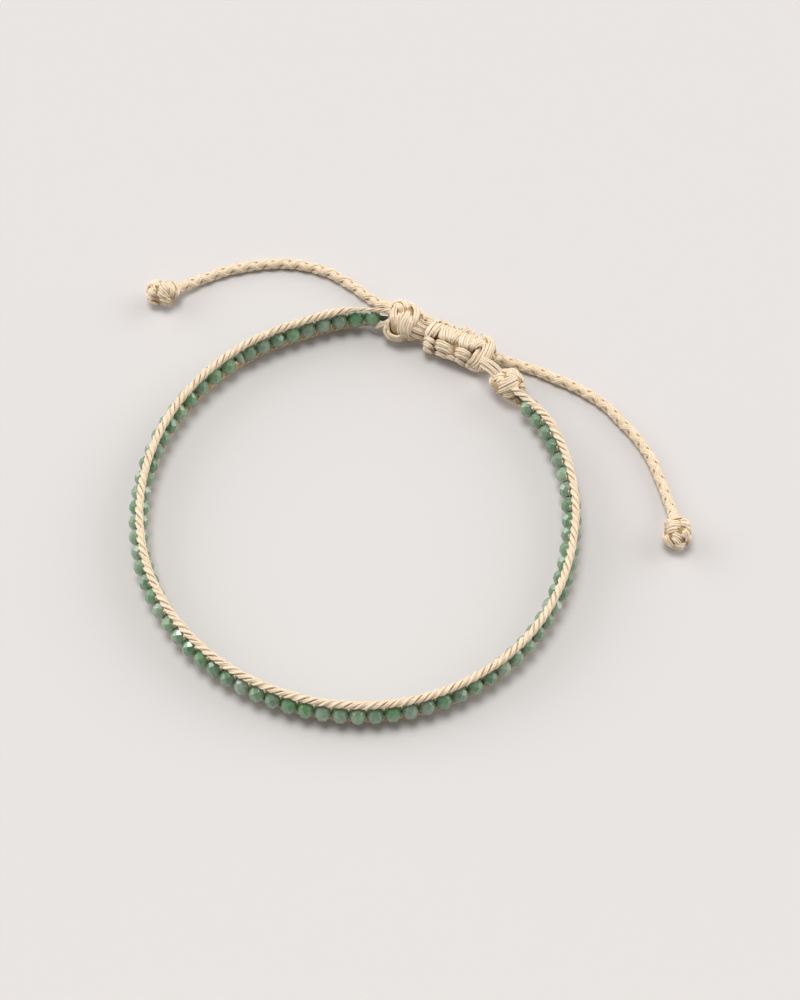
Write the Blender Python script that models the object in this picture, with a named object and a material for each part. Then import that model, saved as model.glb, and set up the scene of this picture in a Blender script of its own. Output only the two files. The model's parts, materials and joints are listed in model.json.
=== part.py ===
"""A beaded bracelet with a sliding knot, lying on its edge.

A row of faceted stone beads runs round the wrist between two twisted edge cords.
Both cords are gathered in a knot at each end of the beads. A bundle of bare strands
joins the two gather knots, and a sliding knot is wrapped round it. The strands leave
the sliding knot as two braided tails, and each tail ends in a woven ball.
"""

import math

import bmesh
import bpy
from mathutils import Matrix, Vector

MM = 0.001

# Beads and their thread
BEAD_LENGTH = 1.98 * MM
BEAD_GAP = 0.12 * MM
BEAD_DIAMETER = 2.5 * MM
BEAD_SIDES = 10
THREAD_DIAMETER = 0.55 * MM
THREAD_STUB = 0.25 * MM

# Stations along one bead, from its near end: share of its length, share of its radius
BEAD_PROFILE = (
    (0.04, 0.60),
    (0.30, 1.00),
    (0.70, 1.00),
    (0.96, 0.60),
)

# The band's route, seen from above: angle in degrees, share of the band's radius
BAND_RADIUS = 27.3 * MM
BAND_ROUTE = (
    (34.0, 0.967),
    (20.0, 0.977),
    (5.0, 0.980),
    (-10.0, 0.988),
    (-25.0, 1.007),
    (-40.0, 1.025),
    (-55.0, 1.032),
    (-75.0, 1.034),
    (-95.0, 1.025),
    (-115.0, 1.013),
    (-135.0, 1.005),
    (-155.0, 0.998),
    (-170.0, 0.989),
    (-185.0, 0.981),
    (-200.0, 0.977),
    (-215.0, 0.979),
    (-230.0, 0.985),
    (-245.0, 0.995),
    (-256.0, 1.006),
    (-262.0, 1.023),
    (-268.0, 1.036),
    (-274.2, 1.045),
)
BAND_SPAN_POINTS = 12

# Edge cords: they lie above and below the beads, set back and flared a little
EDGE_CORD_DIAMETER = 1.0 * MM
EDGE_CORD_SIDES = 8
EDGE_CORD_STEP = 2.6 * MM
CORD_SET_BACK = Vector((0.12 * MM, 0.30 * MM, 0.0))
CORD_FLARE = 0.04 * MM
CORD_LEAD = 0.75 * MM
CLEARANCE = 0.08 * MM

# Knots: half sizes across, up and through, the bearing from what carries the knot, the
# gap left there, and how many faces the knot keeps
KNOT_LEAN = math.radians(29.5)
KNOT_VOXEL = 0.13 * MM
KNOT_SEAT = 0.01 * MM
CORE_SHARE = 0.80
INSET_SHARE = 0.4
STRAND = 1.0 * MM
GATHER_LEFT = {
    "half": Vector((2.55, 2.75, 2.25)) * MM,
    "bearing": math.radians(-13.7),
    "gap": 0.35 * MM,
    "faces": 900,
}
GATHER_RIGHT = {
    "half": Vector((2.3, 2.15, 2.0)) * MM,
    "bearing": math.radians(128.7),
    "gap": 1.2 * MM,
    "faces": 700,
}
END_LEFT = {
    "half": Vector((2.25, 1.75, 1.7)) * MM,
    "bearing": math.radians(208.0),
    "gap": 0.4 * MM,
    "faces": 700,
}
END_RIGHT = {
    "half": Vector((1.85, 2.25, 1.7)) * MM,
    "bearing": math.radians(-83.0),
    "gap": 0.3 * MM,
    "faces": 700,
}

# Sliding knot: it bows outward from the straight line between the gather knots
SLIDING = {
    "half": Vector((4.3, 2.2, 1.8)) * MM,
    "yaw": math.radians(-24.2),
    "faces": 1200,
}
SLIDING_BOW = 1.2 * MM
SLIDING_SHIFT = 0.25 * MM

# Bundle of bare strands between the gather knots, which it stops just short of
CORE_DIAMETER = 1.9 * MM
CORE_LOBES = 4
CORE_LOBE_DEPTH = 0.10
CORE_SIDES = 16
CORE_STEP = 0.8 * MM
CORE_GAP = 0.5 * MM
CORE_SPAN_POINTS = 8

# Tails
TAIL_DIAMETER = 1.5 * MM
TAIL_STEP = 2.2 * TAIL_DIAMETER

# Each tail's route, from the sliding knot to its end knot, in millimetres
LEFT_TAIL_ROUTE = (
    (9.8, 27.3, 1.8),
    (8.7, 28.9, 1.3),
    (7.3, 30.1, 0.9),
    (5.6, 30.7, 0.77),
    (4.2, 31.0, 0.76),
    (3.0, 31.4, 0.76),
    (2.0, 32.0, 0.76),
    (1.0, 32.8, 0.76),
    (0.0, 33.7, 0.76),
    (-1.0, 34.5, 0.76),
    (-2.0, 35.2, 0.76),
    (-3.0, 35.9, 0.76),
    (-5.0, 36.8, 0.76),
    (-7.0, 37.4, 0.76),
    (-9.0, 37.7, 0.76),
    (-11.0, 37.7, 0.76),
    (-13.0, 37.5, 0.76),
    (-15.0, 37.1, 0.76),
    (-17.0, 36.6, 0.76),
    (-19.0, 35.8, 0.77),
    (-21.0, 34.8, 0.95),
    (-23.0, 33.6, 1.35),
)
RIGHT_TAIL_ROUTE = (
    (18.3, 22.7, 1.25),
    (19.3, 22.5, 1.0),
    (20.5, 22.2, 0.8),
    (22.0, 21.6, 0.76),
    (23.5, 21.0, 0.76),
    (25.0, 20.2, 0.76),
    (26.5, 19.5, 0.76),
    (28.0, 18.7, 0.76),
    (29.5, 17.7, 0.76),
    (31.0, 16.6, 0.76),
    (32.3, 15.3, 0.76),
    (33.3, 14.0, 0.76),
    (34.9, 12.0, 0.76),
    (36.2, 10.0, 0.76),
    (37.2, 8.0, 0.76),
    (37.9, 6.0, 0.76),
    (38.5, 4.0, 0.76),
    (39.0, 2.2, 0.85),
    (39.4, 0.4, 1.2),
    (39.5, -0.6, 1.5),
)

# Strand bands of each knot: width and height over the knot's form, both as shares of
# a strand, then places on the knot's face (across, up) as shares of its half sizes
LEFT_GATHER_BANDS = (
    (0.9, 0.2, ((-0.60, 0.10), (-0.60, 0.60), (-0.25, 0.87), (0.10, 0.80), (0.20, 0.40))),
    (0.6, 0.2, ((-0.45, 0.35), (-0.35, 0.70), (-0.15, 0.60), (-0.10, 0.25))),
    (1.0, 0.2, ((-0.45, 0.55), (-0.50, 0.10), (-0.40, -0.40))),
    (0.8, 0.2, ((-0.25, 0.30), (-0.25, -0.10), (-0.25, -0.45))),
    (0.8, 0.2, ((-0.65, 0.15), (-0.80, -0.15), (-0.70, -0.50))),
    (0.8, 0.1, ((-0.75, 0.00), (-0.95, -0.40), (-0.70, -0.80), (-0.25, -0.87), (0.10, -0.80))),
    (0.6, 0.2, ((-0.80, -0.30), (-0.65, -0.65), (-0.25, -0.80), (0.05, -0.60))),
    (1.25, 0.4, ((0.35, 0.55), (0.10, 0.10), (-0.05, -0.40), (0.10, -0.85))),
    (0.85, 0.2, ((0.25, 0.60), (0.45, 0.75), (0.65, 0.40), (0.50, -0.10), (0.30, -0.50))),
    (0.8, 0.0, ((0.60, 0.30), (0.95, 0.35), (1.00, 0.10), (0.75, -0.10))),
    (0.8, 0.1, ((0.10, -0.75), (0.50, -0.80), (0.85, -0.60))),
)
RIGHT_GATHER_BANDS = (
    (1.1, 0.2, ((-0.70, 0.55), (-0.25, 0.80), (0.30, 0.75), (0.75, 0.40), (0.88, -0.10))),
    (0.9, 0.2, ((-0.20, 0.45), (0.15, 0.60), (0.50, 0.45), (0.65, 0.10))),
    (0.9, 0.2, ((0.00, 0.40), (-0.50, 0.50), (-0.85, 0.30), (-0.70, 0.00))),
    (0.8, 0.2, ((-0.05, 0.25), (-0.40, 0.20), (-0.65, 0.05))),
    (1.2, 0.4, ((-0.60, -0.20), (-0.15, 0.00), (0.30, 0.30), (0.50, 0.60))),
    (1.0, 0.2, ((-0.50, -0.50), (0.00, -0.30), (0.40, 0.00), (0.65, 0.30))),
    (0.9, 0.2, ((-0.25, -0.65), (0.15, -0.60), (0.40, -0.30))),
    (0.8, 0.1, ((0.55, -0.10), (0.85, -0.20), (0.85, -0.50))),
)
LEFT_END_BANDS = (
    (0.8, 0.1, ((-0.90, 0.10), (-0.75, 0.60), (-0.40, 0.85), (-0.10, 0.70))),
    (0.7, 0.2, ((-0.75, 0.35), (-0.50, 0.70), (-0.25, 0.50), (-0.25, 0.05))),
    (0.6, 0.2, ((-0.60, 0.50), (-0.45, 0.20), (-0.40, -0.15))),
    (0.7, 0.2, ((-0.85, 0.25), (-0.60, -0.05), (-0.30, -0.35))),
    (0.8, 0.2, ((-0.90, 0.05), (-0.75, -0.35), (-0.30, -0.55))),
    (0.8, 0.1, ((-0.85, -0.40), (-0.55, -0.75), (-0.15, -0.80))),
    (1.0, 0.3, ((0.00, 0.80), (0.20, 0.50), (0.45, -0.10))),
    (0.8, 0.2, ((0.25, 0.85), (0.50, 0.50), (0.60, -0.05), (0.50, -0.40))),
    (0.8, 0.1, ((0.50, 0.85), (0.80, 0.50), (0.87, 0.00), (0.65, -0.45))),
    (0.8, 0.2, ((-0.15, 0.35), (0.15, 0.05), (0.45, -0.35))),
    (0.7, 0.2, ((-0.20, 0.00), (0.05, -0.30), (0.50, -0.50))),
    (0.9, 0.2, ((-0.20, -0.45), (0.10, -0.65), (0.50, -0.65))),
    (0.8, 0.1, ((-0.20, -0.75), (0.15, -0.85), (0.50, -0.75))),
)
RIGHT_END_BANDS = (
    (0.9, 0.1, ((-0.80, 0.45), (-0.50, 0.70), (0.00, 0.85), (0.45, 0.80))),
    (0.8, 0.2, ((-0.75, 0.35), (-0.45, 0.60), (-0.15, 0.65))),
    (0.9, 0.2, ((0.00, 0.60), (0.45, 0.65), (0.75, 0.50), (0.85, 0.20))),
    (0.7, 0.2, ((0.10, 0.50), (0.45, 0.50), (0.75, 0.30))),
    (1.0, 0.3, ((-0.80, 0.20), (-0.45, 0.40), (0.00, 0.45), (0.30, 0.30))),
    (0.8, 0.2, ((-0.75, 0.05), (-0.30, 0.20), (0.10, 0.25))),
    (0.8, 0.1, ((-0.85, 0.10), (-0.87, -0.30), (-0.60, -0.60), (-0.20, -0.87))),
    (0.8, 0.2, ((-0.70, 0.00), (-0.70, -0.35), (-0.40, -0.70), (-0.10, -0.85))),
    (0.5, 0.2, ((-0.35, 0.00), (-0.05, -0.15), (0.40, -0.40))),
    (0.7, 0.2, ((-0.45, -0.25), (-0.10, -0.40), (0.15, -0.65))),
    (0.8, 0.2, ((0.30, 0.25), (0.75, 0.20), (0.87, -0.30), (0.65, -0.70))),
    (0.7, 0.2, ((0.15, 0.10), (0.55, 0.05), (0.70, -0.30), (0.55, -0.50))),
    (0.6, 0.2, ((0.15, 0.00), (0.40, -0.05), (0.45, -0.25))),
    (0.8, 0.2, ((-0.30, -0.50), (0.15, -0.75), (0.55, -0.60))),
    (0.8, 0.1, ((-0.35, -0.80), (0.10, -0.87), (0.50, -0.75))),
)

# Points on each span of a strand band, and how low its ends lie, in shares of a strand
BAND_POINTS = 4
BAND_END_LIFT = -0.2

# Wraps across the sliding knot: width as a share of a strand, then places along the
# knot at the foot and at the head, and the head's height, as shares of its half sizes
SLIDING_WRAPS = (
    (1.1, -0.88, -0.84, 1.00),
    (0.7, -0.78, -0.68, 1.05),
    (0.9, -0.50, -0.57, 1.00),
    (0.9, -0.36, -0.43, 0.95),
    (0.9, -0.20, -0.22, 0.95),
    (1.1, 0.20, 0.05, 1.15),
    (0.8, 0.30, 0.27, 1.00),
    (0.9, 0.40, 0.42, 0.95),
    (0.8, 0.50, 0.62, 1.05),
    (0.9, 0.82, 0.75, 1.10),
)
WRAP_POINTS = 16

# Short bars along its lower edge: width, then from and to as (along, up) in shares
SLIDING_BARS = (
    (0.8, (-1.00, -0.30), (-0.60, -0.30)),
    (0.8, (-0.95, -0.50), (-0.62, -0.60)),
    (0.8, (-0.95, -0.70), (-0.65, -0.80)),
    (0.8, (-0.60, -0.30), (0.00, -0.25)),
    (0.8, (-0.60, -0.50), (0.00, -0.45)),
    (0.8, (-0.50, -0.80), (-0.20, -0.80)),
    (0.8, (0.00, -0.25), (0.50, -0.22)),
    (0.8, (0.00, -0.50), (0.50, -0.40)),
    (0.8, (-0.20, -0.75), (0.05, -0.75)),
    (0.8, (0.05, -0.70), (0.35, -0.80)),
    (0.8, (0.40, -0.80), (0.85, -0.85)),
)
BAR_LIFTS = (-0.1, 0.1, -0.1)
BORE_REACH_SHARE = 1.5

# Facets round a curve tube, as its bevel resolution, and of a knot's rounded core
TAIL_BEVEL = 2
STRAND_BEVEL = 1
CORE_SUBDIVISIONS = 3

CORD_CREAM = (0.75, 0.62, 0.44)
CORD_ROUGHNESS = 0.6
STONE_GREEN = (0.15, 0.25, 0.15)
STONE_ROUGHNESS = 0.25


def clear_scene():
    """Remove whatever the file opened with."""
    for obj in list(bpy.data.objects):
        bpy.data.objects.remove(obj, do_unlink=True)


def plain_material(name, colour, roughness):
    """Return a Principled material of one colour."""
    material = bpy.data.materials.new(name)
    material.use_nodes = True
    shader = material.node_tree.nodes["Principled BSDF"]
    shader.inputs["Base Color"].default_value = (*colour, 1.0)
    shader.inputs["Roughness"].default_value = roughness
    return material


def add_object(name, data, material, parent):
    """Link an object of this data under the bracelet's empty."""
    obj = bpy.data.objects.new(name, data)
    obj.data.materials.append(material)
    obj.parent = parent
    bpy.context.collection.objects.link(obj)
    return obj


def spline_point(p0, p1, p2, p3, t):
    """Return a point on the Catmull-Rom curve between p1 and p2."""
    a = 2.0 * p1
    b = p2 - p0
    c = 2.0 * p0 - 5.0 * p1 + 4.0 * p2 - p3
    d = 3.0 * p1 - p0 - 3.0 * p2 + p3
    return 0.5 * (a + b * t + c * t * t + d * t * t * t)


def smooth_route(points, per_span):
    """Return points of a smooth curve through the chosen ones."""
    chosen = [Vector(p) for p in points]
    first = 2.0 * chosen[0] - chosen[1]
    last = 2.0 * chosen[-1] - chosen[-2]
    padded = [first] + chosen + [last]
    route = []
    for i in range(len(chosen) - 1):
        for k in range(per_span):
            route.append(spline_point(*padded[i:i + 4], k / per_span))
    route.append(chosen[-1])
    return route


class Line:
    """A polyline that can be read at any length along it."""

    def __init__(self, points):
        self.points = points
        self.marks = [0.0]
        for a, b in zip(points, points[1:]):
            self.marks.append(self.marks[-1] + (b - a).length)
        self.length = self.marks[-1]

    def at(self, distance):
        """Return the point at this distance, past either end in a straight line."""
        i = 0
        while i < len(self.marks) - 2 and self.marks[i + 1] < distance:
            i += 1
        span = self.marks[i + 1] - self.marks[i]
        share = (distance - self.marks[i]) / span
        return self.points[i].lerp(self.points[i + 1], share)

    def heading(self, distance):
        """Return the unit direction at this distance."""
        step = CLEARANCE / 2.0
        return (self.at(distance + step) - self.at(distance - step)).normalized()

    def even_points(self, step):
        """Return points evenly spaced along the line, no further apart than the step."""
        spans = max(2, math.ceil(self.length / step))
        return [self.at(self.length * i / spans) for i in range(spans + 1)]


def band_line(height, flare=0.0):
    """Return the bead row's route at this height, widened by the flare."""
    chosen = [(angle, share, 0.0) for angle, share in BAND_ROUTE]
    points = []
    for angle, share, _ in smooth_route(chosen, BAND_SPAN_POINTS):
        turn = math.radians(angle)
        radius = share * BAND_RADIUS + flare
        points.append(Vector((radius * math.cos(turn), radius * math.sin(turn), height)))
    return Line(points)


def round_section(angle):
    """Return a plain round outline's share of the radius."""
    return 1.0


def clover_section(angle):
    """Return the core bundle's outline: a soft clover, one lobe for each strand."""
    return 1.0 + CORE_LOBE_DEPTH * math.cos(CORE_LOBES * angle)


def sweep(name, stations, sides, turn=0.0, section=round_section):
    """Return a closed mesh swept along stations of (centre, heading, radius)."""
    mesh = bmesh.new()
    rings = []
    for centre, heading, radius in stations:
        across = heading.cross(Vector((0.0, 0.0, 1.0))).normalized()
        up = across.cross(heading).normalized()
        ring = []
        for i in range(sides):
            angle = turn + 2.0 * math.pi * i / sides
            reach = radius * section(angle)
            offset = across * (reach * math.cos(angle)) + up * (reach * math.sin(angle))
            ring.append(mesh.verts.new(centre + offset))
        rings.append(ring)
    for ring_a, ring_b in zip(rings, rings[1:]):
        for i in range(sides):
            j = (i + 1) % sides
            mesh.faces.new((ring_a[i], ring_a[j], ring_b[j], ring_b[i]))
    mesh.faces.new(rings[0])
    mesh.faces.new(list(reversed(rings[-1])))
    bmesh.ops.recalc_face_normals(mesh, faces=mesh.faces)
    data = bpy.data.meshes.new(name)
    mesh.to_mesh(data)
    mesh.free()
    return data


def edge_cord_apothem():
    """Return how far the flat sides of an edge cord lie from its centre."""
    return 0.5 * EDGE_CORD_DIAMETER * math.cos(math.pi / EDGE_CORD_SIDES)


def cord_rise():
    """Return the height from the beads' centre line to an edge cord's."""
    return 0.5 * BEAD_DIAMETER + 0.5 * EDGE_CORD_DIAMETER + CLEARANCE


def bead_height():
    """Return the height of the beads' centre line above the floor."""
    return edge_cord_apothem() + cord_rise()


def bead_string(material, parent):
    """Build the row of beads on its thread as one body."""
    line = band_line(bead_height())
    spans = round(line.length / (BEAD_LENGTH + BEAD_GAP))
    pitch = line.length / spans
    thread = 0.5 * THREAD_DIAMETER
    ends = 0.5 * BEAD_LENGTH + THREAD_STUB
    places = [(-ends, thread)]
    for i in range(spans + 1):
        near = pitch * i - 0.5 * BEAD_LENGTH
        for along, share in BEAD_PROFILE:
            places.append((near + along * BEAD_LENGTH, 0.5 * BEAD_DIAMETER * share))
        if i < spans:
            places.append((pitch * (i + 0.5), thread))
    places.append((line.length + ends, thread))
    stations = [(line.at(d), line.heading(d), radius) for d, radius in places]
    data = sweep("bead_string", stations, BEAD_SIDES)
    return add_object("bead_string", data, material, parent)


def edge_cord(name, side, material, parent):
    """Build one edge cord; side is 1 for the top one and -1 for the bottom one."""
    line = band_line(bead_height() + side * cord_rise(), CORD_FLARE)
    whole = line.length + 2.0 * CORD_LEAD
    spans = math.ceil(whole / EDGE_CORD_STEP)
    stations = []
    for i in range(spans + 1):
        distance = whole * i / spans - CORD_LEAD
        centre = line.at(distance) + CORD_SET_BACK
        stations.append((centre, line.heading(distance), 0.5 * EDGE_CORD_DIAMETER))
    data = sweep(name, stations, EDGE_CORD_SIDES, turn=math.pi / EDGE_CORD_SIDES)
    return add_object(name, data, material, parent)


def tube(name, points, diameter, resolution):
    """Return a curve tube with filled caps along these points."""
    curve = bpy.data.curves.new(name, "CURVE")
    curve.dimensions = "3D"
    curve.bevel_depth = 0.5 * diameter
    curve.bevel_resolution = resolution
    curve.use_fill_caps = True
    spline = curve.splines.new("POLY")
    spline.points.add(len(points) - 1)
    for point, place in zip(spline.points, points):
        point.co = (*place, 1.0)
    return curve


def tail(name, route, material, parent):
    """Build one tail from its chosen points and return where it ends."""
    line = Line(smooth_route([Vector(p) * MM for p in route], BAND_SPAN_POINTS))
    points = line.even_points(TAIL_STEP)
    curve = tube(name, points, TAIL_DIAMETER, TAIL_BEVEL)
    add_object(name, curve, material, parent)
    return points[-1]


def knot_frame(yaw):
    """Return a knot's axes: along it, up its leaning face, and out of that face."""
    along = Vector((math.cos(yaw), math.sin(yaw), 0.0))
    out = Vector((0.0, -math.sin(KNOT_LEAN), math.cos(KNOT_LEAN)))
    out = (out - along * out.dot(along)).normalized()
    up = out.cross(along)
    return Matrix((along, up, out)).transposed()


def place_beyond(anchor, knot, gap):
    """Return the centre of a knot that lies this far beyond what carries it."""
    bearing = knot["bearing"]
    toward = Vector((math.cos(bearing), math.sin(bearing), 0.0))
    share = math.hypot(toward.x / knot["half"].x, toward.y / knot["half"].y)
    return anchor + toward * (1.0 / share + gap)


def face_point(half, inset, across, up, lift, side):
    """Return a point over a knot's rounded form, from shares of its half sizes."""
    x = across * half.x
    y = up * half.y
    inside = 1.0 - (x / (half.x - inset)) ** 2 - (y / (half.y - inset)) ** 2
    depth = (half.z - inset) * math.sqrt(max(0.0, inside)) + lift
    return Vector((x, y, side * max(0.0, depth)))


def add_tube(mesh, points, diameter):
    """Add a closed tube along these points to a bmesh."""
    curve = tube("strand", points, diameter, STRAND_BEVEL)
    holder = bpy.data.objects.new("strand", curve)
    data = bpy.data.meshes.new_from_object(holder)
    mesh.from_mesh(data)
    bpy.data.objects.remove(holder, do_unlink=True)
    bpy.data.curves.remove(curve)
    bpy.data.meshes.remove(data)


def add_core(mesh, half):
    """Add the rounded middle of a knot to a bmesh."""
    size = Matrix.Diagonal((*(half * CORE_SHARE), 1.0))
    bmesh.ops.create_icosphere(mesh, subdivisions=CORE_SUBDIVISIONS, radius=1.0, matrix=size)


def knot_object(name, mesh, knot, centre, material, parent):
    """Fuse a knot's strands into one body with few faces, at this place."""
    data = bpy.data.meshes.new(name)
    mesh.to_mesh(data)
    mesh.free()
    obj = add_object(name, data, material, parent)
    fuse = obj.modifiers.new("fuse", "REMESH")
    fuse.mode = "VOXEL"
    fuse.voxel_size = KNOT_VOXEL
    depsgraph = bpy.context.evaluated_depsgraph_get()
    count = len(obj.evaluated_get(depsgraph).data.polygons)
    thin = obj.modifiers.new("thin", "DECIMATE")
    thin.ratio = min(1.0, knot["faces"] / (2.0 * count))
    yaw = knot.get("yaw", 0.0)
    obj.matrix_basis = Matrix.Translation(centre) @ knot_frame(yaw).to_4x4()
    return obj


def world_corners(obj):
    """Return the places of all points of an object's finished mesh."""
    bpy.context.view_layer.update()
    shape = obj.evaluated_get(bpy.context.evaluated_depsgraph_get())
    return [shape.matrix_world @ vertex.co for vertex in shape.data.vertices]


def ball_knot(name, knot, anchor, gap, bands, material, parent):
    """Build a knot of bands that wind over a rounded core, front and back alike.

    It lies beyond its anchor, on the surface that the bracelet lies on.
    """
    mesh = bmesh.new()
    half = knot["half"]
    add_core(mesh, half)
    for width, height, route in bands:
        diameter = width * STRAND
        inset = INSET_SHARE * diameter
        lifts = [BAND_END_LIFT] + [height] * (len(route) - 2) + [BAND_END_LIFT]
        for side in (1.0, -1.0):
            points = []
            for (across, up), lift in zip(route, lifts):
                points.append(face_point(half, inset, across, up, lift * STRAND, side))
            line = Line(smooth_route(points, BAND_POINTS))
            add_tube(mesh, line.even_points(0.5 * diameter), diameter)
    centre = place_beyond(anchor, knot, gap)
    obj = knot_object(name, mesh, knot, centre, material, parent)
    lowest = min(corner.z for corner in world_corners(obj))
    obj.location.z += KNOT_SEAT - lowest
    return obj


def sliding_centre(left, right):
    """Return the sliding knot's centre from the centres of the gather knots."""
    along = knot_frame(SLIDING["yaw"]).col[0]
    outward = Vector((-along.y, along.x, 0.0))
    centre = (left + right) / 2.0 + outward * SLIDING_BOW + along * SLIDING_SHIFT
    centre.z = bead_height()
    return centre


def core_strands(left, right, centre, material, parent):
    """Build the bundle of bare strands between the gather knots."""
    along = knot_frame(SLIDING["yaw"]).col[0]
    left_end = centre - along * SLIDING["half"].x
    right_end = centre + along * SLIDING["half"].x
    start = left + (left_end - left).normalized() * (GATHER_LEFT["half"].x + CORE_GAP)
    stop = right + (right_end - right).normalized() * (GATHER_RIGHT["half"].x + CORE_GAP)
    route = smooth_route([start, left_end, centre, right_end, stop], CORE_SPAN_POINTS)
    line = Line(route)
    radius = 0.5 * CORE_DIAMETER / (1.0 + CORE_LOBE_DEPTH)
    spans = math.ceil(line.length / CORE_STEP)
    stations = []
    for i in range(spans + 1):
        distance = line.length * i / spans
        stations.append((line.at(distance), line.heading(distance), radius))
    data = sweep("core_strands", stations, CORE_SIDES, section=clover_section)
    return add_object("core_strands", data, material, parent)


def wrap_points(width, foot, head, reach):
    """Return a closed wrap round the sliding knot, leaning from foot to head."""
    half = SLIDING["half"]
    up = half.y - 0.5 * width
    out = half.z - 0.5 * width
    points = []
    for i in range(WRAP_POINTS + 1):
        angle = 2.0 * math.pi * i / WRAP_POINTS
        share = 0.5 + 0.5 * math.sin(angle)
        along = foot + (head - foot) * share
        rise = reach if math.sin(angle) > 0.0 else 1.0
        place = (along * half.x, up * rise * math.sin(angle), out * math.cos(angle))
        points.append(Vector(place))
    return points


def bar_points(width, start, stop, side):
    """Return one bar's points, on the front or the back of the sliding knot."""
    half = SLIDING["half"]
    inset = INSET_SHARE * width
    middle = ((start[0] + stop[0]) / 2.0, (start[1] + stop[1]) / 2.0)
    points = []
    for (along, up), lift in zip((start, middle, stop), BAR_LIFTS):
        shift = Vector((along * half.x, 0.0, 0.0))
        points.append(shift + face_point(half, inset, 0.0, up, lift * STRAND, side))
    return smooth_route(points, BAND_POINTS)


def sliding_knot(centre, material, parent):
    """Build the sliding knot: wraps and bars round a bore for the core strands."""
    mesh = bmesh.new()
    add_core(mesh, SLIDING["half"])
    for share, foot, head, reach in SLIDING_WRAPS:
        width = share * STRAND
        add_tube(mesh, wrap_points(width, foot, head, reach), width)
    for share, start, stop in SLIDING_BARS:
        width = share * STRAND
        for side in (1.0, -1.0):
            add_tube(mesh, bar_points(width, start, stop, side), width)
    obj = knot_object("sliding_knot", mesh, SLIDING, centre, material, parent)
    cut = obj.modifiers.new("bore", "BOOLEAN")
    cut.operation = "DIFFERENCE"
    cut.object = bore_cutter(centre, parent)
    return obj


def bore_cutter(centre, parent):
    """Build the cutter that leaves room for the core strands."""
    along = knot_frame(SLIDING["yaw"]).col[0]
    reach = SLIDING["half"].x * BORE_REACH_SHARE
    radius = 0.5 * CORE_DIAMETER + CLEARANCE
    stations = []
    for place in (centre - along * reach, centre, centre + along * reach):
        stations.append((place, along, radius))
    data = sweep("core_bore", stations, CORE_SIDES)
    cutter = bpy.data.objects.new("core_bore", data)
    cutter.parent = parent
    cutter.hide_render = True
    cutter.display_type = "WIRE"
    bpy.context.collection.objects.link(cutter)
    return cutter


def stand_on_origin(empty, objects):
    """Move the bracelet so that its box, without the tails, stands centred on the origin."""
    corners = []
    for obj in objects:
        corners.extend(world_corners(obj))
    low = Vector([min(c[i] for c in corners) for i in range(3)])
    high = Vector([max(c[i] for c in corners) for i in range(3)])
    empty.location = (-0.5 * (low.x + high.x), -0.5 * (low.y + high.y), -low.z)


def build():
    """Build the whole bracelet."""
    clear_scene()
    cord = plain_material("waxed_cord", CORD_CREAM, CORD_ROUGHNESS)
    stone = plain_material("green_stone", STONE_GREEN, STONE_ROUGHNESS)
    empty = bpy.data.objects.new("bracelet", None)
    bpy.context.collection.objects.link(empty)
    beads = bead_string(stone, empty)
    top_cord = edge_cord("top_edge_cord", 1, cord, empty)
    bottom_cord = edge_cord("bottom_edge_cord", -1, cord, empty)

    line = band_line(bead_height())
    half_bead = 0.5 * BEAD_LENGTH
    left_gap = half_bead + GATHER_LEFT["gap"]
    right_gap = half_bead + GATHER_RIGHT["gap"]
    gather_left = ball_knot("left_gather_knot", GATHER_LEFT, line.at(line.length), left_gap,
                            LEFT_GATHER_BANDS, cord, empty)
    gather_right = ball_knot("right_gather_knot", GATHER_RIGHT, line.at(0.0), right_gap,
                             RIGHT_GATHER_BANDS, cord, empty)
    left = gather_left.location.copy()
    right = gather_right.location.copy()
    centre = sliding_centre(left, right)
    core = core_strands(left, right, centre, cord, empty)
    slider = sliding_knot(centre, cord, empty)

    left_end = tail("left_tail_cord", LEFT_TAIL_ROUTE, cord, empty)
    right_end = tail("right_tail_cord", RIGHT_TAIL_ROUTE, cord, empty)
    ball_knot("left_end_knot", END_LEFT, left_end, END_LEFT["gap"],
              LEFT_END_BANDS, cord, empty)
    ball_knot("right_end_knot", END_RIGHT, right_end, END_RIGHT["gap"],
              RIGHT_END_BANDS, cord, empty)
    band = (beads, top_cord, bottom_cord, gather_left, gather_right, core, slider)
    stand_on_origin(empty, band)


build()
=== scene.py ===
"""The looks of the beaded bracelet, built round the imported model.

Shapes are worked out in millimetres round the ring's own centre, the way that the
part's source does it, and moved to the frame's place when their meshes are made.
A strand of cord is a flat bundle of plies, and each ply is a closed tube.
"""

import json
import math
import random

import bmesh
import bpy
import numpy as np
from mathutils import Matrix, Vector

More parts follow.
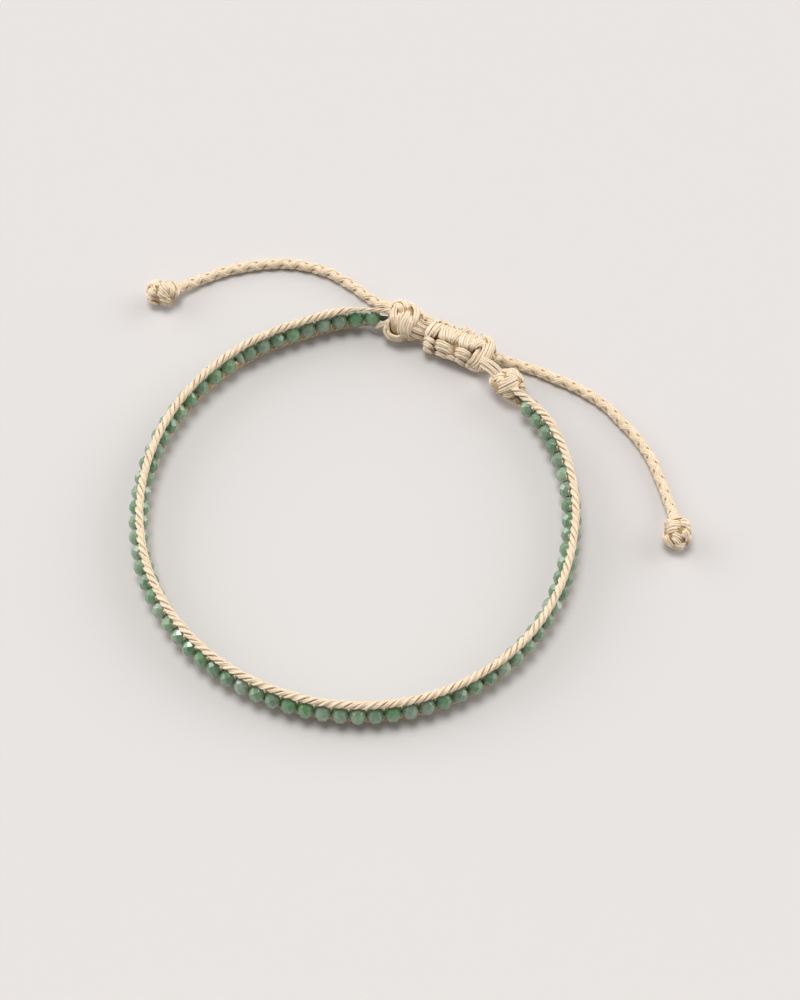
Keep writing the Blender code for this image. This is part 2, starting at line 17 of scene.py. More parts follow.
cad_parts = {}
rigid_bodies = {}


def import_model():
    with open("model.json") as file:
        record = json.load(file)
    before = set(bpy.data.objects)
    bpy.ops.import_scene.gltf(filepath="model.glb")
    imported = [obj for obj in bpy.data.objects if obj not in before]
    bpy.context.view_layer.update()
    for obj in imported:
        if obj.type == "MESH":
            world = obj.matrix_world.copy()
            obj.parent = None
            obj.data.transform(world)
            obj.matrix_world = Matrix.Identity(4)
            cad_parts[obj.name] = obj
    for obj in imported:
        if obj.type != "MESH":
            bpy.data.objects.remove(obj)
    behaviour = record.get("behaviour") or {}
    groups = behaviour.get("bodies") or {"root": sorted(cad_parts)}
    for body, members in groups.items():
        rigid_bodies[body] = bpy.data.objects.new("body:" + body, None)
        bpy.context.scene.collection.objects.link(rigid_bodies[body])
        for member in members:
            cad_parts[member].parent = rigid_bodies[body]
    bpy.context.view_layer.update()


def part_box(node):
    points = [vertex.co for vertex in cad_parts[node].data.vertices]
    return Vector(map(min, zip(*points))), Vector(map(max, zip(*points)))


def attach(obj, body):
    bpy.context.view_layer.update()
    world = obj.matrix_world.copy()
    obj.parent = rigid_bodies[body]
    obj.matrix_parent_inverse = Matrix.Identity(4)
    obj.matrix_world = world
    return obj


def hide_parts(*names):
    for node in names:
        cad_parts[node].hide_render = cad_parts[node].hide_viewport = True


MM = 0.001
UP = np.array([0.0, 0.0, 1.0])

# Camera, as the photograph was taken
CAMERA_DISTANCE = 373.2
CAMERA_ELEVATION = math.radians(60.5)
CAMERA_LENS = 108.0
CAMERA_TARGET = (5.54, 1.36, 2.26)
CAMERA_SENSOR = 36.0
CAMERA_CLIP = 10.0

TOWARD_CAMERA = np.array([0.0, -math.cos(CAMERA_ELEVATION), math.sin(CAMERA_ELEVATION)])

# The band's route, seen from above: angle in degrees, share of the band's radius
BAND_RADIUS = 27.3
BAND_ROUTE = (
    (34.0, 0.967),
    (20.0, 0.977),
    (5.0, 0.980),
    (-10.0, 0.988),
    (-25.0, 1.007),
    (-40.0, 1.025),
    (-55.0, 1.032),
    (-75.0, 1.034),
    (-95.0, 1.025),
    (-115.0, 1.013),
    (-135.0, 1.005),
    (-155.0, 0.998),
    (-170.0, 0.989),
    (-185.0, 0.981),
    (-200.0, 0.977),
    (-215.0, 0.979),
    (-230.0, 0.985),
    (-245.0, 0.995),
    (-256.0, 1.006),
    (-262.0, 1.023),
    (-268.0, 1.036),
    (-274.2, 1.045),
)

# How far outside the beads' route the edge cords lie: angle in degrees, millimetres
CORD_REACH = (
    (34.0, 0.35),
    (0.0, 0.45),
    (-30.0, 0.10),
    (-60.0, -0.14),
    (-90.0, -0.29),
    (-150.0, -0.33),
    (-180.0, -0.22),
    (-210.0, -0.06),
    (-240.0, 0.04),
    (-274.0, 0.04),
)

# Where some beads lie, as the photograph shows them: bead's number, angle in degrees
BEAD_MARKS = (
    (0, 34.0),
    (8, -3.5),
    (16, -38.0),
    (24, -72.0),
    (32, -106.0),
    (40, -140.0),
    (48, -176.0),
    (56, -212.0),
    (60, -232.0),
    (61, -236.0),
    (62, -239.0),
    (70, -274.0),
)
NARROW_BEAD = 61
NARROW_SHARE = 0.62
NARROW_GIRTH = 0.80
NARROW_TONE = 0.95

# Beads, with rings of facets round the hole
BEAD_LENGTH = 2.03
BEAD_RADIUS = 1.31
BEAD_FACETS = 8
BEAD_BELT_SHARE = 0.42
BEAD_SHOULDER_SHARE = 0.76
BEAD_SHOULDER_RADIUS = 0.93
BEAD_END_RADIUS = 0.55
BEAD_BEVEL = 0.02
BEAD_BEVEL_PROFILE = 0.6
BEAD_FLAT_ANGLE = math.radians(1.5)
BEAD_SIZE_SPREAD = 0.015
BEAD_TILT_SPREAD = math.radians(3.0)
BEAD_ROLL_SPREAD = math.radians(7.0)
BEAD_TONE_MIDDLE = 0.45
BEAD_TONE_SPREAD = 0.26
BEAD_DEPTH_RANGE = (0.75, 1.30)

# Edge cords: three strands twisted together, each a bundle of plies
EDGE_STEP = 0.20
EDGE_STRANDS = 3
EDGE_LOBES = 2.0
EDGE_TWIST_RADIUS = 0.27
EDGE_STRAND_RADIUS = 0.13
EDGE_PLY_RADIUS = 0.145
EDGE_PLIES = 3
EDGE_PHASE = 0.6
# Painted shade on the edge cords' plies, deeper towards the cord's axis
EDGE_CREASE_SHADE = 0.75
FLOOR_CLEARANCE = 0.03
PLY_TURN = 0.08
THIN_SHARE = 0.5
THIN_FROM = 7.0
THIN_TO = 4.0
ROUTE_EVERY = 6

# Stitches that pass between the beads from one edge cord to the other
STITCH_RADIUS = 0.11
STITCH_MIDDLE_RADIUS = 0.05
STITCH_SPREAD = 0.26
STITCH_THIN_WITHIN = 0.3
STITCH_MIDDLE_SPREAD = 0.25
STITCH_CURVE = 1.5
STITCH_HEIGHTS = (-1.0, -0.8, -0.6, -0.35, 0.0, 0.35, 0.6, 0.8, 1.0)
THREAD_RADIUS = 0.36
THREAD_STEP = 0.6
THREAD_SIDES = 8

# Tails: a round braid of four strands
BRAID_TURN = 4.4
BRAID_PHASE = 0.25 * math.pi
BRAID_RADIUS = 0.52
BRAID_WAVE = 0.07
BRAID_WIDTH = 0.9
BRAID_DOME = 0.7
BRAID_PLIES = 4
BRAID_PLY_RADIUS = 0.155
# Painted shade on the braid's under stretches and at its strands' edges
BRAID_UNDER_SHADE = 0.45
BRAID_EDGE_SHADE = 1.4
TAIL_END_SHARE = 0.45
BRAID_STEP = 0.16
BRAID_CORE_RADIUS = 0.38
BRAID_WANDER = 0.015

# Each tail's route, from where it leaves the sliding knot to its end knot
LEFT_TAIL_START = (11.2, 25.9, 2.3)
LEFT_TAIL_ROUTE = (
    (9.8, 27.3, 1.8),
    (8.7, 28.9, 1.3),
    (7.3, 30.1, 0.9),
    (5.6, 30.7, 0.77),
    (4.2, 31.0, 0.76),
    (3.0, 31.4, 0.76),
    (2.0, 32.0, 0.76),
    (1.0, 32.8, 0.76),
    (0.0, 33.7, 0.76),
    (-1.0, 34.5, 0.76),
    (-2.0, 35.2, 0.76),
    (-3.0, 35.9, 0.76),
    (-5.0, 36.8, 0.76),
    (-7.0, 37.4, 0.76),
    (-9.0, 37.7, 0.76),
    (-11.0, 37.7, 0.76),
    (-13.0, 37.5, 0.76),
    (-15.0, 37.1, 0.76),
    (-17.0, 36.6, 0.76),
    (-19.0, 35.8, 0.77),
    (-21.0, 34.8, 0.95),
    (-23.0, 33.6, 1.35),
)
RIGHT_TAIL_START = (16.6, 22.8, 1.9)
RIGHT_TAIL_ROUTE = (
    (18.3, 22.7, 1.25),
    (19.3, 22.5, 1.0),
    (20.5, 22.2, 0.8),
    (22.0, 21.6, 0.76),
    (23.5, 21.0, 0.76),
    (25.0, 20.2, 0.76),
    (26.5, 19.5, 0.76),
    (28.0, 18.7, 0.76),
    (29.5, 17.7, 0.76),
    (31.0, 16.6, 0.76),
    (32.3, 15.3, 0.76),
    (33.3, 14.0, 0.76),
    (34.9, 12.0, 0.76),
    (36.2, 10.0, 0.76),
    (37.2, 8.0, 0.76),
    (37.9, 6.0, 0.76),
    (38.5, 4.0, 0.76),
    (39.0, 2.2, 0.85),
    (39.4, 0.4, 1.2),
    (39.5, -0.6, 1.5),
)

# Knots lean back, so that their faces look at the camera
KNOT_LEAN = math.radians(29.5)
# Size of each knot's dark core, painted shade between its strands
KNOT_CORE_SHARE = 0.80
KNOT_STEP = 0.16
KNOT_REACH = 1.07
KNOT_SPAN_POINTS = 10
PLY_SPREAD = 1.25
PLY_THICKNESS = 1.05
PLY_LEAN = 1.8
PLY_WANDER = 0.12
WANDER_POINTS = 5
WANDER_RISE = 0.6
BAND_DOME = 1.3
# Painted shade at the knot strands' edges and at their tucked ends
BAND_EDGE_SHADE = 2.6
BAND_END_SHADE = 0.5
BAND_END_SIZE = 0.45
BAND_INSET = 0.4
BAND_RISE_RATE = 3.0
RIM_LEAN = 0.02
END_DROP = -0.45

# Each knot's half sizes across, up and through in millimetres, then its strands: width
# in millimetres, number of plies, how high the middle lies over the form, and places
# on the face (across, up) as shares of the half sizes
LEFT_GATHER_HALF = (2.55, 2.75, 2.25)
LEFT_GATHER_BANDS = (
    (0.8, 3, 0.0, ((-0.65, 0.15), (-0.80, -0.15), (-0.70, -0.50))),
    (0.8, 3, 0.0, ((-0.70, 0.00), (-0.90, -0.40), (-0.70, -0.75), (-0.25, -0.85), (0.10, -0.80))),
    (0.6, 2, 0.1, ((-0.75, -0.30), (-0.65, -0.60), (-0.25, -0.75), (0.05, -0.60))),
    (0.9, 3, 0.2, ((-0.60, 0.10), (-0.65, 0.50), (-0.55, 0.75), (-0.25, 0.90), (0.10, 0.80),
                   (0.20, 0.40))),
    (0.7, 3, 0.1, ((-0.45, 0.35), (-0.35, 0.70), (-0.15, 0.62), (-0.05, 0.25))),
    (1.0, 4, 0.3, ((-0.35, 0.70), (-0.50, 0.45), (-0.50, 0.10), (-0.40, -0.40))),
    (0.8, 3, 0.2, ((-0.20, 0.40), (-0.25, 0.00), (-0.28, -0.45))),
    (0.7, 2, 0.0, ((-0.10, 0.20), (-0.05, -0.10), (-0.15, -0.45))),
    (0.8, 3, 0.1, ((0.55, 0.30), (0.90, 0.35), (1.00, 0.10), (0.70, -0.10))),
    (0.85, 3, 0.2, ((0.20, 0.60), (0.45, 0.75), (0.65, 0.40), (0.55, -0.10), (0.35, -0.50))),
    (1.25, 4, 0.4, ((0.35, 0.55), (0.15, 0.20), (-0.05, -0.20), (-0.05, -0.55), (0.15, -0.85))),
    (0.9, 3, 0.3, ((0.45, 0.30), (0.30, -0.10), (0.20, -0.50), (0.30, -0.80))),
    (0.8, 3, 0.1, ((0.10, -0.75), (0.45, -0.80), (0.80, -0.60))),
)
RIGHT_GATHER_HALF = (2.3, 2.15, 2.0)
RIGHT_GATHER_BANDS = (
    (0.9, 3, 0.0, ((-0.45, 0.75), (-0.80, 0.50), (-0.90, 0.10), (-0.70, -0.05))),
    (0.9, 3, 0.1, ((0.00, 0.45), (-0.45, 0.50), (-0.80, 0.30), (-0.70, 0.00))),
    (0.8, 3, 0.2, ((-0.05, 0.28), (-0.40, 0.20), (-0.65, 0.05))),
    (1.1, 4, 0.2, ((-0.70, 0.55), (-0.25, 0.80), (0.30, 0.75), (0.72, 0.45), (0.88, -0.10))),
    (0.9, 3, 0.3, ((-0.20, 0.50), (0.15, 0.60), (0.50, 0.45), (0.65, 0.10))),
    (0.8, 3, 0.1, ((-0.15, 0.78), (0.25, 0.85), (0.60, 0.70))),
    (0.8, 3, 0.1, ((0.50, -0.10), (0.85, -0.15), (0.85, -0.50))),
    (0.9, 3, 0.1, ((-0.30, -0.65), (0.15, -0.65), (0.45, -0.35))),
    (1.0, 4, 0.3, ((-0.60, -0.45), (-0.10, -0.30), (0.35, -0.05), (0.65, 0.20))),
    (1.2, 4, 0.5, ((-0.65, -0.20), (-0.20, 0.00), (0.25, 0.25), (0.55, 0.50))),
    (0.8, 3, 0.0, ((-0.20, -0.70), (0.15, -0.92), (0.50, -0.80))),
)
LEFT_END_HALF = (2.25, 1.75, 1.7)
LEFT_END_BANDS = (
    (0.8, 3, 0.1, ((-0.85, 0.10), (-0.75, 0.55), (-0.40, 0.83), (-0.10, 0.70))),
    (0.7, 3, 0.2, ((-0.75, 0.35), (-0.50, 0.65), (-0.25, 0.50), (-0.25, 0.10))),
    (0.7, 3, 0.2, ((-0.60, 0.45), (-0.48, 0.20), (-0.40, -0.15))),
    (0.8, 3, 0.1, ((-0.88, 0.05), (-0.75, -0.35), (-0.30, -0.55))),
    (0.7, 3, 0.3, ((-0.80, 0.20), (-0.60, -0.05), (-0.30, -0.35))),
    (0.8, 3, 0.1, ((-0.82, -0.40), (-0.55, -0.75), (-0.15, -0.80))),
    (0.8, 3, 0.1, ((0.50, 0.83), (0.78, 0.50), (0.85, 0.00), (0.65, -0.45))),
    (0.8, 3, 0.2, ((0.25, 0.83), (0.50, 0.50), (0.60, 0.00), (0.50, -0.40))),
    (0.8, 3, 0.2, ((-0.22, 0.42), (0.08, 0.12), (0.42, -0.35))),
    (0.8, 3, 0.2, ((-0.28, 0.10), (-0.02, -0.22), (0.48, -0.50))),
    (1.0, 4, 0.4, ((-0.08, 0.83), (0.10, 0.50), (0.28, 0.18), (0.42, -0.15))),
    (0.9, 3, 0.2, ((-0.20, -0.45), (0.10, -0.62), (0.50, -0.65))),
    (0.8, 3, 0.1, ((-0.20, -0.75), (0.15, -0.85), (0.50, -0.75))),
)
RIGHT_END_HALF = (1.85, 2.25, 1.7)
RIGHT_END_BANDS = (
    (0.9, 4, 0.1, ((-0.80, 0.45), (-0.50, 0.70), (0.00, 0.85), (0.45, 0.78))),
    (0.8, 3, 0.2, ((-0.75, 0.35), (-0.45, 0.58), (-0.10, 0.65))),
    (0.9, 3, 0.2, ((0.00, 0.60), (0.45, 0.65), (0.75, 0.48), (0.83, 0.20))),
    (0.7, 3, 0.1, ((0.10, 0.50), (0.45, 0.48), (0.72, 0.30))),
    (0.8, 3, 0.1, ((-0.82, 0.10), (-0.85, -0.30), (-0.60, -0.60), (-0.20, -0.85))),
    (0.8, 3, 0.2, ((-0.68, 0.00), (-0.68, -0.35), (-0.40, -0.68), (-0.10, -0.83))),
    (0.8, 3, 0.2, ((-0.75, 0.05), (-0.30, 0.20), (0.10, 0.22))),
    (1.0, 4, 0.4, ((-0.80, 0.20), (-0.45, 0.40), (0.00, 0.45), (0.30, 0.30))),
    (0.7, 3, 0.1, ((-0.45, -0.05), (-0.10, -0.15), (0.35, -0.40))),
    (0.7, 3, 0.2, ((-0.45, -0.25), (-0.10, -0.42), (0.15, -0.65))),
    (0.8, 3, 0.2, ((0.30, 0.25), (0.72, 0.18), (0.85, -0.30), (0.65, -0.68))),
    (0.7, 3, 0.3, ((0.15, 0.10), (0.52, 0.05), (0.65, -0.30), (0.52, -0.52))),
    (0.6, 2, 0.1, ((0.15, 0.00), (0.38, -0.08), (0.42, -0.28))),
    (0.8, 3, 0.2, ((-0.30, -0.50), (0.15, -0.72), (0.55, -0.60))),
    (0.8, 3, 0.1, ((-0.35, -0.78), (0.10, -0.87), (0.50, -0.75))),
)

# Strands that run from a gather knot to its neighbours: the knot, width, plies, and
# places (across, up, out) as shares of the knot's half sizes
LOOSE_STRANDS = (
    ("left_gather_knot", 0.6, 3, ((-1.40, 0.75, 0.10), (-1.00, 0.75, 0.30), (-0.60, 0.60, 0.50))),
    ("left_gather_knot", 0.5, 2, ((-1.40, 0.45, 0.10), (-1.00, 0.48, 0.35), (-0.60, 0.40, 0.65))),
    ("left_gather_knot", 0.6, 2, ((-1.40, -0.25, -0.3), (-1.00, -0.12, 0.0), (-0.70, 0.0, 0.30))),
    ("left_gather_knot", 0.4, 2, ((0.80, 0.05, 0.20), (1.15, -0.12, 0.20), (1.60, -0.22, 0.10))),
    ("left_gather_knot", 0.65, 3, ((0.50, -0.05, 0.60), (0.95, -0.30, 0.50), (1.50, -0.50, 0.3))),
    ("left_gather_knot", 0.65, 3, ((0.40, -0.35, 0.65), (0.85, -0.52, 0.50), (1.45, -0.70, 0.2))),
    ("left_gather_knot", 0.65, 3, ((0.40, -0.60, 0.45), (0.80, -0.74, 0.30), (1.35, -0.88, 0.0))),
    ("right_gather_knot", 0.45, 2, ((-1.45, 1.60, 0.20), (-0.78, 1.20, 0.35), (-0.30, 0.70, 0.4))),
    ("right_gather_knot", 0.45, 2, ((-1.50, 1.40, 0.30), (-0.92, 0.96, 0.45), (-0.50, 0.50, 0.5))),
    ("right_gather_knot", 0.45, 2, ((-1.50, 1.15, 0.20), (-1.02, 0.76, 0.30), (-0.60, 0.40, 0.4))),
    ("right_gather_knot", 0.60, 3, ((-0.10, -0.70, 0.20), (0.30, -0.98, 0.1), (0.75, -1.30, -0.2))),
)

# Where each edge cord goes into its knots, (across, up, out) in the same shares
TOP_STARTS = ((0.30, -0.28, 0.80), (0.70, -0.60, 1.00), (1.08, -0.97, 1.20))
TOP_STOPS = ((-1.20, 0.50, 0.40), (-0.60, 0.45, 0.60))
LOW_STARTS = ((0.10, -0.60, 0.00), (0.70, -1.10, -0.10))
LOW_STOPS = ((-1.05, -0.15, -0.40), (-0.60, 0.00, 0.00))

# Sliding knot: its half sizes, how it rounds off at its ends, and its strands, given
# as the other knots' strands are, with places (along, up)
SLIDING_HALF = (4.3, 2.2, 1.8)
SLIDING_YAW = math.radians(-24.2)
SLIDING_CORE_SHARE = 0.66
SLIDING_ROUND_FROM = 0.72
SLIDING_END_ROUNDING = 0.8
SLIDING_TOP = 0.95
SLIDING_BANDS = (
    (0.7, 3, 0.0, ((-0.58, 0.05), (-0.56, 0.50), (-0.54, 1.00))),
    (0.7, 3, 0.0, ((0.00, 0.00), (-0.02, 0.50), (-0.04, 1.00))),
    (1.1, 4, 0.3, ((-0.93, -0.40), (-0.91, 0.10), (-0.88, 0.55), (-0.84, 1.00))),
    (0.9, 3, 0.3, ((-0.74, -0.10), (-0.73, 0.35), (-0.68, 0.75), (-0.62, 1.05))),
    (0.9, 3, 0.3, ((-0.30, -0.15), (-0.40, 0.20), (-0.48, 0.60), (-0.50, 1.00))),
    (0.9, 3, 0.2, ((-0.42, -0.15), (-0.48, 0.20), (-0.54, 0.55), (-0.60, 0.96))),
    (0.9, 3, 0.3, ((-0.20, -0.15), (-0.24, 0.30), (-0.32, 0.70), (-0.38, 0.98))),
    (1.0, 4, 0.4, ((-0.16, -0.10), (-0.12, 0.35), (-0.06, 0.75), (0.02, 1.12))),
    (0.8, 3, 0.2, ((-0.22, 0.30), (-0.20, 0.70), (-0.18, 0.98))),
    (0.9, 3, 0.3, ((0.22, -0.12), (0.14, 0.25), (0.10, 0.60), (0.14, 1.12))),
    (0.9, 3, 0.3, ((0.34, -0.10), (0.28, 0.25), (0.24, 0.60), (0.26, 1.05))),
    (0.8, 3, 0.1, ((0.36, 0.30), (0.36, 0.70), (0.34, 0.98))),
    (1.0, 4, 0.4, ((0.40, -0.10), (0.46, 0.35), (0.53, 0.70), (0.60, 1.08))),
    (0.7, 3, 0.0, ((0.60, 0.30), (0.66, 0.70), (0.70, 1.00))),
    (0.8, 3, 0.1, ((-1.00, -0.25), (-0.80, -0.22), (-0.58, -0.35))),
    (0.8, 3, 0.1, ((-0.98, -0.50), (-0.80, -0.55), (-0.60, -0.60))),
    (0.8, 3, 0.1, ((-0.92, -0.72), (-0.80, -0.80), (-0.60, -0.80))),
    (0.8, 3, 0.0, ((-0.55, -0.78), (-0.35, -0.75), (-0.15, -0.80))),
    (0.8, 3, 0.0, ((-0.25, -0.72), (-0.05, -0.72), (0.10, -0.78))),
    (0.8, 3, 0.0, ((0.02, -0.72), (0.20, -0.75), (0.38, -0.85))),
    (0.8, 3, 0.1, ((0.35, -0.70), (0.55, -0.88), (0.80, -0.85))),
    (0.8, 3, 0.2, ((-0.62, -0.48), (-0.30, -0.42), (0.02, -0.52))),
    (0.8, 3, 0.3, ((-0.65, -0.25), (-0.35, -0.18), (-0.02, -0.32))),
    (0.8, 3, 0.2, ((-0.02, -0.52), (0.25, -0.42), (0.52, -0.50))),
    (0.8, 3, 0.3, ((-0.05, -0.26), (0.25, -0.18), (0.52, -0.28))),
    (0.7, 3, 0.1, ((0.64, 0.35), (0.62, -0.10), (0.56, -0.50), (0.42, -0.70))),
    (0.9, 3, 0.2, ((0.68, 0.90), (0.81, 0.45), (0.81, -0.10), (0.72, -0.60), (0.50, -0.78))),
    (1.1, 4, 0.4, ((0.50, 0.90), (0.72, 1.10), (0.91, 0.75), (0.94, 0.15), (0.92, -0.40),
                   (0.80, -0.80), (0.55, -0.92))),
)

# Core strands: how far they reach each way, as a share of the sliding knot's half length,
# then the bundle's width in millimetres and its plies
CORE_REACH = 0.92
CORE_WIDTH = 1.6
CORE_PLIES = 6

# Cords' colours, for a pale ply, a darker ply, the streaks on both and the painted shade in the
# creases
CREAM_CORD = ((0.84, 0.71, 0.55), (0.77, 0.62, 0.43), (0.72, 0.53, 0.32), (0.64, 0.41, 0.19))
# The lower edge cord: the cream cord painted darker and warmer, as shade
SHADED_BOTTOM_CORD = ((0.86, 0.64, 0.38), (0.74, 0.51, 0.27), (0.60, 0.37, 0.16), (0.50, 0.28, 0.10))
# Knots' cores: dark balls painted as the shade between the strands
SHADED_CORD = ((0.50, 0.34, 0.17), (0.43, 0.28, 0.13), (0.36, 0.22, 0.10), (0.30, 0.18, 0.08))
DARK_CORD = ((0.05, 0.07, 0.03), (0.04, 0.06, 0.025), (0.02, 0.03, 0.012), (0.02, 0.03, 0.012))

# Cords' finish: roughness, gloss, and fibre noise as (stretch, scale, detail)
CORD_ROUGHNESS = 0.36
CORD_SPECULAR = 0.6
CORD_BUMP = 0.02
CORD_BUMP_STRENGTH = 0.3
STREAK_FIBRES = (0.22, 2.6, 3.0)
STREAK_FROM = 0.46
STREAK_TO = 0.70
STREAK_SHARE = 0.40
FINE_FIBRES = (0.05, 6.5, 2.0)
PALE_PLY_FROM = 0.7
# Painted shade in the creases: where it begins and where it is full
CREASE_SHADE_FROM = 0.50
CREASE_SHADE_TO = 0.95

# Stone: greens from the darkest bead's tone to the palest one's, then haze and specks
STONE_GREENS = (
    (0.0, (0.078, 0.180, 0.086)),
    (0.45, (0.132, 0.250, 0.132)),
    (0.8, (0.190, 0.300, 0.180)),
    (1.0, (0.310, 0.410, 0.285)),
)
STONE_ROUGHNESS = 0.30
STONE_COAT_IOR = 1.8
STONE_COAT_ROUGHNESS = 0.04
STONE_BUMP = 0.01
STONE_BUMP_STRENGTH = 0.06
HAZE_COLOUR = (0.250, 0.335, 0.235)
HAZE_SCALE = 750.0
HAZE_FROM = 0.45
HAZE_TO = 0.80
HAZE_MOST = 0.35
SPECK_COLOUR = (0.50, 0.60, 0.50)
SPECK_SCALE = 4200.0
SPECK_FROM = 0.38
SPECK_TO = 0.52
SPECK_SHARE = 0.2

# Studio: a pale floor, its half size in metres, and a soft sun a little off the vertical
FLOOR_SIZE = 3.0
FLOOR_COLOUR = (0.626, 0.604, 0.598)
FLOOR_ROUGHNESS = 0.9
SUN_STRENGTH = 1.9
SUN_ANGLE = math.radians(30.0)
SUN_TILT = (math.radians(-9.0), math.radians(-6.0), 0.0)
SUN_COLOUR = (1.0, 0.99, 0.975)

# Sky: its light by height, then by how far it lies to a side, then dimmed towards the
# camera's place, and a bright patch at each side
SKY_STRENGTH = 0.50
SKY_HEIGHTS = ((0.0, (0.60, 0.60, 0.61)), (0.45, (0.85, 0.85, 0.85)), (1.0, (1.20, 1.19, 1.17)))
SKY_SIDES = ((0.35, (0.70, 0.70, 0.70)), (0.85, (1.30, 1.30, 1.30)))
SKY_FRONT = ((0.72, (1.0, 1.0, 1.0)), (0.96, (0.25, 0.25, 0.25)))
PATCH_TOWARD = (0.86, 0.36, 0.36)
PATCH_FROM = 0.84
PATCH_TO = 0.92
PATCH_LIGHT = (4.5, 4.5, 4.4)

BLACK = (0.0, 0.0, 0.0)
WHITE = (1.0, 1.0, 1.0)

SEED = 7


def smooth(points, per_span=12):
    """Return points of a smooth curve through the chosen ones."""
    chosen = np.array(points, float)
    padded = np.vstack([2 * chosen[0] - chosen[1], chosen, 2 * chosen[-1] - chosen[-2]])
    t = np.arange(per_span)[:, None] / per_span
    route = []
    for i in range(len(chosen) - 1):
        p0, p1, p2, p3 = padded[i:i + 4]
        bend = 2 * p0 - 5 * p1 + 4 * p2 - p3
        twist = 3 * p1 - p0 - 3 * p2 + p3
        route.append(0.5 * (2 * p1 + (p2 - p0) * t + bend * t ** 2 + twist * t ** 3))
    route.append(chosen[-1:])
    return np.vstack(route)


def lengths_along(points):
    """Return how far each point lies along its polyline."""
    steps = np.linalg.norm(np.diff(points, axis=0), axis=1)
    return np.concatenate([[0.0], np.cumsum(steps)])


def read_at(points, distances):
    """Return the polyline's points at these distances."""
    marks = lengths_along(points)
    return np.stack([np.interp(distances, marks, points[:, i]) for i in range(3)], axis=1)


def even(points, step):
    """Return the polyline's points at even distances no longer than the step."""
    whole = lengths_along(points)[-1]
    spans = max(2, math.ceil(whole / step))
    return read_at(points, np.linspace(0.0, whole, spans + 1))


def unit(vectors):
    """Return vectors of length one."""
    size = np.linalg.norm(vectors, axis=-1, keepdims=True)
    return vectors / np.maximum(size, 1e-9)


def tangents(points):
    """Return the unit direction at each point of a polyline."""
    return unit(np.gradient(points, axis=0))


def across_frame(points, hint):
    """Return side and normal vectors for each point, with the normal near the hint."""
    along = tangents(points)
    hint = np.broadcast_to(hint, points.shape)
    normal = unit(hint - along * np.sum(hint * along, axis=1, keepdims=True))
    return np.cross(normal, along), normal


def ease(share):
    """Return a soft step from 0 to 1."""
    share = np.clip(share, 0.0, 1.0)
    return share * share * (3.0 - 2.0 * share)


def add_object(name, data):
    """Add an object with this data to the scene."""
    obj = bpy.data.objects.new(name, data)
    bpy.context.scene.collection.objects.link(obj)
    return obj


